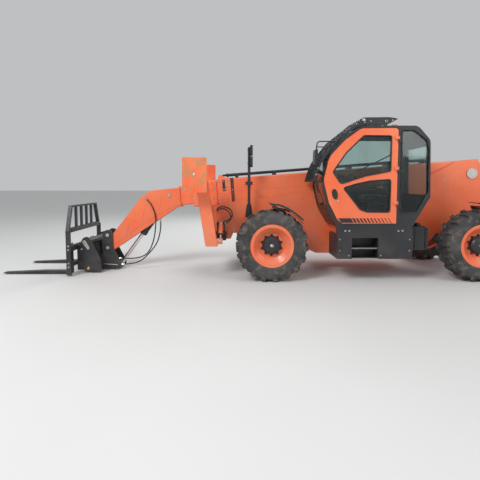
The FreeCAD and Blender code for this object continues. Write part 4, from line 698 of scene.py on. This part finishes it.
neck_base, neck_rod = boom_spot(FLANGE - 200, 0, 27), coupler_spot(187, 0, -338)
lift_base, lift_rod = spot(REAR_AXLE - 127, 0, 886), boom_spot(-1983, 0, -370)
cylinder_trim("tilt", "tilt_cylinder", "tilt_piston", neck_base, neck_rod, 900, 65, 34, 45)
cylinder_trim("lift", "lift_cylinder", "lift_piston", lift_base, lift_rod, 1250, 85, 48, 55)
for side, out in SIDES:
    ram_base, ram_rod = spot(-855, out * 560, 905), spot(-855, out * 820, 640)
    cylinder_trim(f"stabilizer_{side}", f"{side}_stabilizer_cylinder", f"{side}_stabilizer_piston", ram_base,
                  ram_rod, 240, 38, 20, 22)


# Boom pipes and hoses

def pipe_ends():
    """Unions and bends where the pipes on the boom meet its hoses."""
    bends = Shape()
    for y in (-95, -20, 55):
        front = boom_spot(-4450, y, 317)
        forward = (boom_spot(-1, 0, 0) - boom_spot(0, 0, 0)).normalized()
        bends.turned([(34, -20), (34, 10), (22, 16), (22, 30), (0, 30)], front, forward, 6)
        route = smooth_route([boom_spot(-4470, y, 317), boom_spot(-4510, y, 318), boom_spot(-4545, y, 300),
                              boom_spot(-4560, y, 272)], 6)
        bends.swept(route, 17, 12)
    bends.done("boom_pipe_bends", "boom_lower", "cab_plastic", finish=FINISHES["hose_rubber"])
    for step in range(6):
        clamp = Shape()
        for y in (-112, -57, 18, 73):
            clamp.bolt(boom_spot(-4270 + step * 700, y, 320 if y in (-112, 73) else 322),
                       boom_spot(0, 0, 1) - boom_spot(0, 0, 0), 16)
        clamp.done(f"pipe_clamp_{step + 1}", "boom_lower", "pin_steel")


pipe_ends()


def spline_points(name, knots):
    """Points of the NURBS spline that has the knots as its control points."""
    curve = bpy.data.curves.new(name + "_line", "CURVE")
    curve.dimensions = "3D"
    curve.resolution_u = 12
    spline = curve.splines.new("NURBS")
    spline.points.add(len(knots) - 1)
    for point, knot in zip(spline.points, knots):
        point.co = (*knot, 1)
    spline.order_u = 3
    spline.use_endpoint_u = True
    line = bpy.data.objects.new(name + "_line", curve)
    scene.collection.objects.link(line)
    bpy.context.view_layer.update()
    shown = line.evaluated_get(bpy.context.evaluated_depsgraph_get())
    points = [vertex.co.copy() for vertex in bpy.data.meshes.new_from_object(shown).vertices]
    bpy.data.objects.remove(line)
    return points


def hose(name, knots, radius, bodies):
    """A hose along its knots with a crimped fitting at both ends."""
    route = spline_points(name, knots)
    rod = Shape().swept(route, radius, 12)
    fittings = Shape()
    for at, onward in ((route[0], route[1]), (route[-1], route[-2])):
        fittings.turned([(radius * 1.12, 4), (radius * 1.3, 6), (radius * 1.3, 34), (radius * 1.05, 38)],
                        at, onward - at, 16)
        fittings.turned([(0, -14), (radius * 1.45, -14), (radius * 1.45, 6), (0, 6)], at, onward - at, 6)
    piece = rod.done(name, None, "cab_plastic", finish=FINISHES["hose_rubber"])
    ends = fittings.done(name + "_fittings", None, "pin_steel")
    for form in (piece, ends):
        if len(bodies) == 1:
            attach(form, bodies[0])
        else:
            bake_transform(form)


def neck_hose_knots(points):
    return [spot(x, y, z) for x, y, z in points]


for _, out in SIDES[:1]:
    hose("tool_hose_outer", neck_hose_knots((
        (-2268, -158, 1340), (-2190, -163, 1262), (-2124, -166, 1138), (-2085, -168, 1000), (-2083, -168, 861),
        (-2104, -168, 653), (-2155, -168, 466), (-2232, -167, 319), (-2335, -166, 248), (-2483, -163, 213),
        (-2627, -158, 210), (-2765, -155, 213))), 11, ("boom_fourth", "tool_coupler"))
    hose("tool_hose_inner", neck_hose_knots((
        (-1999, -146, 939), (-1992, -147, 834), (-2014, -147, 678), (-2060, -146, 521), (-2133, -145, 406),
        (-2229, -145, 300), (-2319, -145, 205), (-2443, -147, 133), (-2598, -152, 104), (-2718, -155, 98))), 11,
        ("boom_fourth", "tool_coupler"))


# Cab

DOOR_UPPER = ((963, 1784, 40), (1165, 2080, 120), (1445, 2358, 60), (1880, 2352, 30), (1879, 1800, 30), (1474, 1721),
              (1094, 1594, 60))
DOOR_LOWER = ((1135, 1530, 30), (1333, 1594), (1556, 1641), (1883, 1665, 30), (1881, 1145, 30), (1520, 1145),
              (1406, 1185, 60))
SIDE_WINDOW = ((2052, 2440, 40), (2249, 2440, 60), (2444, 2289, 60), (2490, 2132, 60), (2500, 1466, 60),
               (2323, 1137, 40), (2052, 1137, 40))
BOOM_WINDOW = ((1080, 1420, 40), (1010, 1700, 60), (1130, 2080, 90), (1440, 2380, 60), (2260, 2380, 60),
               (2400, 2200, 60), (2410, 1420, 60))


def window_seals():
    for name, body, corners, y in (("door_upper", "door", DOOR_UPPER, -1144), ("door_lower", "door", DOOR_LOWER, -1144),
                                   ("side_window", "chassis", SIDE_WINDOW, -1140),
                                   ("boom_window", "chassis", BOOM_WINDOW, -260)):
        seal = Shape().swept([spot(u, y, v) for u, v in rounded(corners, 8)], 14, 10, closed=True, flat=0.4)
        seal.done(f"{name}_seal", body, "cab_plastic", finish=FINISHES["hose_rubber"])


window_seals()


def door_trim():
    """Oval cup round the handle, lock, hinge caps, striping along the sill and the pull bar inside."""
    cup, bar, stripe = Shape(), Shape(), Shape()
    lean = math.radians(12)
    face = side_view(spot, -1144)

    def oval(half_width, half_height, steps=36):
        points = []
        for step in range(steps):
            angle = 2 * math.pi * step / steps
            u, v = half_width * math.cos(angle), half_height * math.sin(angle)
            points.append((998 + u * math.cos(lean) - v * math.sin(lean),
                           1432 + u * math.sin(lean) + v * math.cos(lean)))
        return points

    rings = [(oval(46, 86), 0), (oval(46, 86), 5), (oval(40, 80), 7), (oval(35, 74), 2), (oval(1, 2), 1)]
    made = [[cup.mesh.verts.new(face(u, v, depth)) for u, v in points] for points, depth in rings]
    for low, high in zip(made, made[1:]):
        cup.bridge(low, high)
    for inset, start, stop in ((0, 0, 23.5), (5, 23, 26)):
        grip = rounded([(988.5 + inset, 1358.5 + inset, 20), (1037.5 - inset, 1358.5 + inset, 20),
                        (1007.5 - inset, 1505.5 - inset, 20), (958.5 + inset, 1505.5 - inset, 20)], 6)
        cup.plate(grip, face, start, stop)
    cup.done("door_handle_cup", "door", "black_paint", 0.8)
    lock = Shape().turned([(15, 0), (15, 4), (12, 6), (9, 6), (9, 9), (7, 10), (0, 10)],
                          spot(1052, -1144, 1318), (0, -1, 0), 20)
    for z in (1266, 1819, 2300):
        lock.turned([(14.5, 0), (14.5, 3), (9, 7), (0, 7)], spot(1997, -1157.5, z + 45), (0, 0, 1), 16)
        for x in (1955, 1975):
            lock.turned([(7, 0), (7, 3), (4, 5), (0, 5)], spot(x, -1161.5, z + 24), (0, -1, 0), 12)
    lock.done("door_fasteners", "door", "pin_steel")
    bar.swept(smooth_route([spot(1919, -1104, 2248), spot(1921, -1085, 2240), spot(1934, -1078, 2180),
                            spot(1934, -1078, 2089), spot(1880, -1078, 2050), spot(1500, -1078, 1862),
                            spot(1130, -1078, 1676), spot(1100, -1085, 1662), spot(1090, -1104, 1657)], 6), 9, 12)
    bar.done("door_pull_bar", "door", "black_paint")
    view = side_view(spot, -1144)
    stripe.plate([Vector(c) for c in ((1056, 1046), (1110, 970), (1312, 970), (1262, 1046))], view, 0, 0.8)
    for step in range(11):
        edge, width = 1276 + 58 * step, 42 - 2.8 * step
        stripe.plate([Vector(c) for c in ((edge, 1046), (edge + width, 1046), (edge + width + 50, 970),
                                          (edge + 50, 970))], view, 0, 0.8)
    stripe.done("door_stripes", "door", "black_paint")
    block = Shape()
    block.plate(rounded([(1895, 2255, 10), (1950, 2255, 10), (1950, 2325, 10), (1895, 2325, 10)], 3),
                side_view(spot, -1080), 0, 24)
    block.done("door_latch_block", "door", "cab_plastic", 1.5)
    dots = Shape()
    for x in (1910, 1934):
        dots.turned([(7, 0), (7, 3), (4, 4), (0, 4)], spot(x, -1104, 2290), (0, -1, 0), 12)
    dots.done("door_latch_screws", "door", "pin_steel")


door_trim()


# Operator's seat

SEAT_MIDDLE = (1780, -700)
CAB_FLOOR = 950


def signed_power(value, power):
    return math.copysign(abs(value) ** power, value)


def cushion(name, at, size, lean, channels, cap):
    """Stuffed pad with crowned faces, sewn channels across it and a piped seam round its middle."""
    pad = Shape()
    rows, columns = 44, 88
    wide, deep, high = (extent / 2000 for extent in size)
    turn = Matrix.Rotation(math.radians(lean), 3, "Y")
    rings = []
    for row in range(rows + 1):
        up = math.pi * (row / rows - 0.5)
        ring = []
        for column in range(columns if 0 < row < rows else 1):
            around = 2 * math.pi * column / columns
            level = signed_power(math.cos(up), 0.42)
            u, v = level * signed_power(math.cos(around), 0.36), level * signed_power(math.sin(around), 0.36)
            ring.append(pad.mesh.verts.new((wide * u * (0.94 + 0.04 * v * v), deep * v * (0.94 + 0.04 * u * u),
                                            high * signed_power(math.sin(up), 0.5) * 0.92)))
        rings.append(ring)
    for low, top in zip(rings, rings[1:]):
        pad.bridge(low, top)
    piece = pad.done(name, None, "seat_cover")
    blow_up(piece, cap)
    for vertex in piece.data.vertices:
        if vertex.co.z > 0:
            for channel in channels:
                across = vertex.co.x - channel / 1000
                vertex.co.z -= 0.011 * math.exp(-(across / 0.009) ** 2) * min(1.0, vertex.co.z / (high * 0.5))
    softening = piece.modifiers.new("Softening", "SUBSURF")
    softening.levels = softening.render_levels = 1
    place = Matrix.Translation(at) @ turn.to_4x4()
    piece.data.transform(place)
    seam = Shape()
    loop = []
    for step in range(96):
        around = 2 * math.pi * step / 96
        u, v = signed_power(math.cos(around), 0.36), signed_power(math.sin(around), 0.36)
        loop.append(place @ Vector((wide * u * 0.985, deep * v * 0.985, 0)))
    seam.swept(loop, 4.5, 8, closed=True)
    piping = seam.done(name + "_piping", "chassis", "cab_plastic")
    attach(piece, "chassis")
    return piece, piping


def blow_up(piece, cap):
    """Swells the pad as pressed cloth, and lets no point move more than the cap."""
    remesh = piece.modifiers.new("Remesh", "REMESH")
    remesh.mode, remesh.voxel_size, remesh.use_smooth_shade = "VOXEL", 0.009, True
    settle(piece)
    rest = [vertex.co.copy() for vertex in piece.data.vertices]
    cloth = piece.modifiers.new("Cloth", "CLOTH")
    cloth.settings.use_pressure = True
    cloth.settings.uniform_pressure_force = 4
    cloth.settings.effector_weights.gravity = 0
    for frame_number in range(1, 21):
        scene.frame_set(frame_number)
    settle(piece)
    for vertex, before in zip(piece.data.vertices, rest):
        moved = vertex.co - before
        if moved.length > cap:
            vertex.co = before + moved * (cap / moved.length)
    scene.frame_set(1)
    piece.data.shade_smooth()


def settle(piece):
    """Makes what the modifiers show the piece's own mesh and takes them off."""
    shown = piece.evaluated_get(bpy.context.evaluated_depsgraph_get())
    mesh = bpy.data.meshes.new_from_object(shown)
    piece.modifiers.clear()
    piece.data = mesh


def seat():
    x, y = SEAT_MIDDLE
    bottom = cushion("seat_cushion", spot(x - 5, y, CAB_FLOOR + 400), (485, 475, 128), 2, (-95, 40, 130), 0.009)
    back = cushion("seat_backrest", spot(x + 262, y, CAB_FLOOR + 742), (600, 440, 108), -83, (-150, 0, 150), 0.009)
    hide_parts("operator_seat")
    base = Shape()
    for level in range(7):
        z = CAB_FLOOR + 70 + level * 34
        loop = [spot(x + u, y + v, z) for u, v in rounded([(-165, -155, 40), (165, -155, 40), (165, 155, 40),
                                                           (-165, 155, 40)], 5)]
        base.swept(loop, 15, 8, closed=True)
    view = lambda u, v, depth=0.0: spot(u, v, CAB_FLOOR + depth)
    for start, stop, half in ((0, 55, 178), (310, 340, 185)):
        base.plate([(x + u, y + v) for u, v in rounded([(-half, -half + 8, 20), (half, -half + 8, 20),
                                                        (half, half - 8, 20), (-half, half - 8, 20)], 4)],
                   view, start, stop)
    base.plate([(x + u, y + v) for u, v in rounded([(-140, -130, 20), (140, -130, 20), (140, 130, 20),
                                                    (-140, 130, 20)], 4)], view, 50, 315)
    base.done("seat_suspension", "chassis", "cab_plastic", 1.0)
    arms = Shape()
    for out in (-1, 1):
        arms.swept(smooth_route([spot(x + 255, y + out * 215, CAB_FLOOR + 640), spot(x + 190, y + out * 218, CAB_FLOOR + 640),
                                 spot(x + 60, y + out * 218, CAB_FLOOR + 632), spot(x - 60, y + out * 214, CAB_FLOOR + 622)],
                                6), 21, 12, flat=0.7)
    arms.done("seat_armrests", "chassis", "cab_plastic")


seat()


# Cab fittings

def cab_fittings():
    """Joystick, pedals, display, wiper, and the fasteners of the sill panel and the guards."""
    stick = Shape()
    foot = spot(1560, -385, CAB_FLOOR + 590)
    stick.turned([(46, 0), (44, 8), (36, 14), (38, 22), (29, 30), (31, 38), (20, 48), (12, 56), (10, 120), (17, 130),
                  (22, 150), (21, 182), (12, 196), (0, 199)], foot, (-0.12, 0, 1), 20)
    for u, v in ((-8, -6), (8, -6), (0, 9)):
        stick.turned([(5, 0), (5, 5), (3, 7), (0, 7)], foot + Vector((u - 20, v, 196)) / 1000, (-0.12, 0, 1), 10)
    stick.done("joystick", "chassis", "cab_plastic")
    switches = Shape()
    for step in range(6):
        view = lambda u, v, depth=0.0: spot(u, v, CAB_FLOOR + 583 + depth)
        x = 1680 + step * 44
        switches.plate(rounded([(x, -398, 5), (x + 30, -398, 5), (x + 30, -352, 5), (x, -352, 5)], 3), view, -6, 9)
    switches.done("console_switches", "chassis", "cab_plastic", 1.5)
    pedals = Shape()
    for y in (-810, -620):
        pedals.swept([spot(1215, y, CAB_FLOOR + 8), spot(1262, y, CAB_FLOOR + 60), spot(1290, y, CAB_FLOOR + 98)], 8, 10)
        pad_view = lambda u, v, depth=0.0: spot(1272 + u + depth * 0.7, y + v, CAB_FLOOR + 96 + u * 0.9 - depth * 0.7)
        pedals.plate(rounded([(-10, -38, 8), (52, -38, 8), (52, 38, 8), (-10, 38, 8)], 3), pad_view, -4, 6)
    pedals.done("pedals", "chassis", "black_paint", 0.8)
    display = Shape()
    face = lambda u, v, depth=0.0: spot(1055 + v * 0.3 - depth, -700 + u, CAB_FLOOR + 455 + v)
    display.plate(rounded([(-78, -35, 10), (78, -35, 10), (78, 62, 10), (-78, 62, 10)], 4), face, -26, 4)
    display.done("dash_display", "chassis", "cab_plastic", 2.0)
    bolts = Shape()
    for x in (1176, 1240, 2032, 2096):
        bolts.bolt(spot(x, -1150, 840), (0, -1, 0), 20)
    for x, z in ((730, 1849), (700, 1746), (1462, 2574), (1330, 2545), (1900, 2600), (1560, 2590)):
        for out, y in ((-1, -1116), (1, -284)):
            bolts.bolt(spot(x, y, z), (0, out, 0), 15)
    for x, z in ((1090, 520), (1090, 700), (2215, 520), (2215, 700), (1240, 440), (1755, 440)):
        bolts.bolt(spot(x, -1150, z), (0, -1, 0), 14)
    bolts.done("cab_bolts", "chassis", "pin_steel")
    lamp = Shape()
    for x, z, radius in ((1440, 2610, 25), (1806, 2590, 21)):
        for out, y in ((-1, -1116), (1, -284)):
            if radius > 22:
                lamp.turned([(radius, 0), (radius, 9), (radius - 4, 13), (radius - 8, 11), (0, 15)],
                            spot(x, y, z), (0, out, 0), 28)
            else:
                lamp.turned([(radius - 7, 0), (radius, 0), (radius, 4), (radius - 3, 6), (radius - 7, 4), (radius - 7, 0)],
                            spot(x, y, z), (0, out, 0), 28)
    lamp.done("guard_lamps", "chassis", "pin_steel")
    wiper = Shape()
    wiper.turned([(24, -14), (24, 6), (14, 14), (0, 14)], spot(868, -700, 1262), (-1, 0, 0.25), 18)
    wiper.swept([spot(850, -700, 1264), spot(824, -672, 1400), spot(800, -640, 1590)], 6, 8, flat=0.6)
    wiper.swept([spot(822, -640, 1440), spot(800, -640, 1590), spot(794, -640, 1740)], 5, 8, flat=2.0)
    wiper.done("windscreen_wiper", "chassis", "black_paint")
    treads = Shape()
    for step in range(17):
        x = 1300 + step * 24
        treads.swept([spot(x, -1112, 560.5), spot(x, -922, 560.5)], 3.2, 6)
    treads.done("step_treads", "chassis", "black_paint")
    # Pale steel strips along the upper and lower step edges: painted highlight, put there for the bright lines where
    # light catches the step edges.
    edges = Shape()
    for y, z in ((-1121, 556), (-1151, 394)):
        edges.swept([spot(1290, y, z), spot(1705, y, z)], 7, 10)
    edges.done("step_edge_highlights", "chassis", "pin_steel")
    cap = Shape().turned([(54, -2), (54, 6), (42, 8), (42, 26), (38, 31), (14, 31), (14, 34), (0, 34)],
                         spot(2495, -780, 908), (0, 0, 1), 12)
    for x in (2405, 2585):
        band = [spot(x + 0, y, z) for y, z in rounded([(-903, 487), (-903, 881, 30), (-262, 881), (-262, 487)], 4)]
        cap.swept(band, 12, 8, closed=True, flat=0.2)
    cap.done("tank_cap_and_straps", "chassis", "black_paint")
    beacon_ribs = Shape()
    at = spot(2200, -420, 2516)
    for z in (34, 52, 70, 88, 106):
        loop = [at + Vector((53 * math.cos(2 * math.pi * step / 48), 53 * math.sin(2 * math.pi * step / 48), z)) / 1000
                for step in range(48)]
        beacon_ribs.swept(loop, 2.2, 6, closed=True)
    beacon_ribs.done("beacon_ribs", "chassis", "amber_lens")
    foot = Shape().turned([(70, 0), (70, 10), (64, 22), (56, 25), (50, 25)], at, (0, 0, 1), 40)
    foot.done("beacon_foot", "chassis", "black_paint")


cab_fittings()


def mirror_glass():
    """Silvered glass in each mirror head, and the clamps on the post."""
    glass, clamps = Shape(), Shape()
    post = lambda u, v, depth=0.0: spot(-298 + depth, u, v)
    for z_low, z_high in ((1905, 2070), (2105, 2268)):
        glass.plate(rounded([(-545, z_low, 28), (-395, z_low, 28), (-395, z_high, 28), (-545, z_high, 28)], 5), post, -1, 1.2)
    cab = lambda u, v, depth=0.0: spot(690 + (v - 1898) * 0.245 + depth if v < 2000 else 715 + depth, u, v)
    glass.plate(rounded([(-1158, 2008, 14), (-1018, 2008, 14), (-1018, 2132, 14), (-1158, 2132, 14)], 4), cab, -2, 1.2)
    glass.done("mirror_glass", "chassis", "rod_chrome")
    for z in (1240, 1560, 1660, 1960, 2190):
        clamps.turned([(26, -14), (29, -12), (29, 12), (26, 14)], spot(-360, -470, z), (0, 0, 1), 20)
    for z in (1595, 1625):
        for y in (-500, -440):
            clamps.bolt(spot(-420, y, z), (-1, 0, 0), 12)
    clamps.done("mirror_clamps", "chassis", "black_paint")


mirror_glass()


# Stabilizers, frame, hood and rear

# Knots of the two left hoses, from the frame to the ram; no bend is tighter than 100
STABILIZER_HOSES = (
    ((-950, 247, 1140), (-934, 317, 1154), (-880, 378, 1187), (-795, 402, 1192), (-701, 427, 1157),
     (-649, 460, 1074), (-673, 500, 992), (-756, 532, 950), (-822, 572, 936), (-848, 606, 905)),
    ((-950, 247, 1095), (-938, 319, 1116), (-887, 381, 1150), (-813, 402, 1158), (-734, 428, 1122),
     (-682, 460, 1040), (-689, 500, 958), (-755, 540, 911), (-823, 575, 899), (-848, 606, 871)))


def stabilizer_trim():
    """Sole pins and edge welds, hinge pin collars, and the hoses from the frame to the cylinder."""
    for side, out in SIDES:
        body = f"{side}_stabilizer"
        sole, welds = Shape(), Shape()
        sole.turned([(26, 0), (26, 5), (18, 9), (0, 9)], spot(-1248, out * 1150, 1737), (0, out, 0), 24)
        for x, z in ((-1410, 1500), (-1086, 1500), (-1410, 1976), (-1086, 1976)):
            sole.bolt(spot(x, out * 1150, z), (0, out, 0), 14)
        sole.turned([(34, 0), (34, 8), (22, 12), (0, 12)], spot(-1118, out * 640, 620), (-1, 0, 0), 20)
        sole.turned([(34, 0), (34, 8), (22, 12), (0, 12)], spot(-908, out * 640, 620), (1, 0, 0), 20)
        sole.done(f"stabilizer_pins_{side}", body, "pin_steel")
        for start, stop in (((-1262, 1567), (-1262, 1737)), ((-1102, 1567), (-1102, 1737))):
            low, high = (spot(x, out * 1111, z) for x, z in (start, stop))
            welds.swept([low.lerp(high, step / 24) + Vector((0.001 * math.sin(step * 2), 0, 0)) for step in range(25)], 4, 6)
        lean = 0.1512
        for edge in (-100, 100):
            low = spot(-1013 + edge + lean * 60, out * 861, 560)
            high = spot(-1013 + edge - lean * 1120, out * 861, 1740)
            welds.swept([low.lerp(high, step / 60) for step in range(61)], 3, 6)
        welds.done(f"stabilizer_welds_{side}", body, "orange_paint")
        rams = Shape()
        for along in (-1, 1):
            rams.turned([(26, 0), (26, 8), (18, 12), (0, 12)], spot(-855 + along * 76, out * 560, 905), (along, 0, 0), 20)
        rams.done(f"stabilizer_ram_pins_{side}", "chassis", "pin_steel")
        for step, knots in enumerate(STABILIZER_HOSES):
            knots = [spot(x, out * y, z) for x, y, z in knots]
            hose(f"stabilizer_hose_{side}_{step + 1}", knots, 11, ("chassis", f"{side}_stabilizer_cylinder"))


stabilizer_trim()


def frame_trim():
    """Bolts, welds and access covers of the side plates, mudguard screws and pivot cap screws."""
    for _, out in SIDES:
        bolts, welds, covers = Shape(), Shape(), Shape()
        y = out * 245
        view = side_view(spot, y)
        for x, z in ((-930, 800), (-930, 1120), (-700, 1180), (-620, 760), (-380, 1200), (340, 1180), (340, 900),
                     (500, 700), (2700, 1500), (2900, 1560), (3200, 1660), (3950, 1300), (3950, 1060), (4080, 1100)):
            bolts.bolt(spot(x, y, z), (0, out, 0), 19)
        for step in range(8):
            angle = math.radians(45 * step + 22)
            bolts.bolt(spot(3700 + 78 * math.cos(angle), out * 265, 1790 + 78 * math.sin(angle)), (0, out, 0), 12)
        covers.plate(rounded([(-560, 930, 30), (-330, 930, 30), (-330, 1120, 30), (-560, 1120, 30)], 5), view, -1, 3)
        for x, z in ((-542, 948), (-348, 948), (-348, 1102), (-542, 1102)):
            bolts.bolt(spot(x, out * 248, z), (0, out, 0), 11)
        for route in (((-760, 640), (-760, 1130), (-640, 1210)), ((300, 715), (560, 480), (880, 346)),
                      ((2640, 360), (2960, 552), (3090, 712))):
            welds.swept(smooth_route([spot(x, y, z) for x, z in route], 24), 4, 6)
        side = "left" if out < 0 else "right"
        bolts.done(f"frame_bolts_{side}", "chassis", "pin_steel")
        covers.done(f"frame_covers_{side}", "chassis", "orange_paint", 1.0)
        welds.done(f"frame_welds_{side}", "chassis", "orange_paint")
    for end, axle_x in (("front", 0), ("rear", REAR_AXLE)):
        for side, out in SIDES:
            screws = Shape()
            for x, z in ((46, 1281), (277, 1201)):
                for y in (out * 800, out * 1150):
                    screws.turned([(11, 0), (11, 4), (6, 6), (0, 6)], spot(axle_x + x, y, z - 2), (x, 0, z - 590), 6)
            screws.done(f"mudguard_screws_{end}_{side}", f"{end}_{side}_knuckle", "pin_steel")


frame_trim()


def hood_trim():
    """Pull latches and louvre blades of the engine hood."""
    latches, blades = Shape(), Shape()
    view = side_view(spot, 1140)
    for x in (1010, 2340):
        latches.plate(rounded([(x, 800, 10), (x + 60, 800, 10), (x + 60, 920, 10), (x, 920, 10)], 4), view, -1, 7)
        latches.swept([spot(x + 30, 1147, 820), spot(x + 30, 1162, 835), spot(x + 30, 1162, 885), spot(x + 30, 1147, 900)],
                      6, 8)
    latches.done("hood_latches", "hood", "black_paint", 1.0)
    for x in (1150, 1600):
        for z in (790, 835, 880, 925, 970, 1015):
            blades.swept([spot(x + 4, 1143, z + 16), spot(x + 150, 1147, z + 17), spot(x + 296, 1143, z + 16)], 5, 8,
                         flat=0.6)
    blades.done("hood_louvres", "hood", "orange_paint")


hood_trim()


def rear_trim():
    """Bezels of the tail lamps."""
    bezel = Shape()
    for y in (-500, 500):
        loop = [spot(4382 + 12, y + u, 1040 + v) for u, v in rounded([(-63, -43, 14), (63, -43, 14), (63, 43, 14),
                                                                     (-63, 43, 14)], 4)]
        bezel.swept(loop, 5, 8, closed=True)
    bezel.done("tail_lamp_bezels", "chassis", "black_paint")


rear_trim()


# Floor, backdrop and light

def stage_material():
    s = Surface("stage_paint", 0.9)
    return s.finish(s.mix(s.noise(0.8), (0.66, 0.66, 0.65, 1), (0.70, 0.70, 0.69, 1)))


def stage_floor(reach):
    mesh = bpy.data.meshes.new("floor")
    mesh.from_pydata([(-reach, -reach, 0), (reach, -reach, 0), (reach, reach, 0), (-reach, reach, 0)], [],
                     [(0, 1, 2, 3)])
    floor = bpy.data.objects.new("floor", mesh)
    scene.collection.objects.link(floor)
    mesh.materials.append(stage_material())


def soft_light(name, place, side, power):
    data = bpy.data.lights.new(name, "AREA")
    data.size = side
    data.energy = power
    lamp = bpy.data.objects.new(name, data)
    lamp.location = place
    lamp.rotation_euler = (Vector((0, 0, 1.2)) - Vector(place)).to_track_quat("-Z", "Y").to_euler()
    scene.collection.objects.link(lamp)


stage_floor(120)
soft_light("key_light", (-6, -9, 9), 4, 900)
soft_light("fill_light", (8, -8, 6), 7, 320)
soft_light("rim_light", (2, 9, 8), 6, 500)

world = bpy.data.worlds.new("studio")
world.use_nodes = True
scene.world = world
background = world.node_tree.nodes["Background"]
background.inputs["Color"].default_value = (0.86, 0.88, 0.90, 1)
background.inputs["Strength"].default_value = 0.6
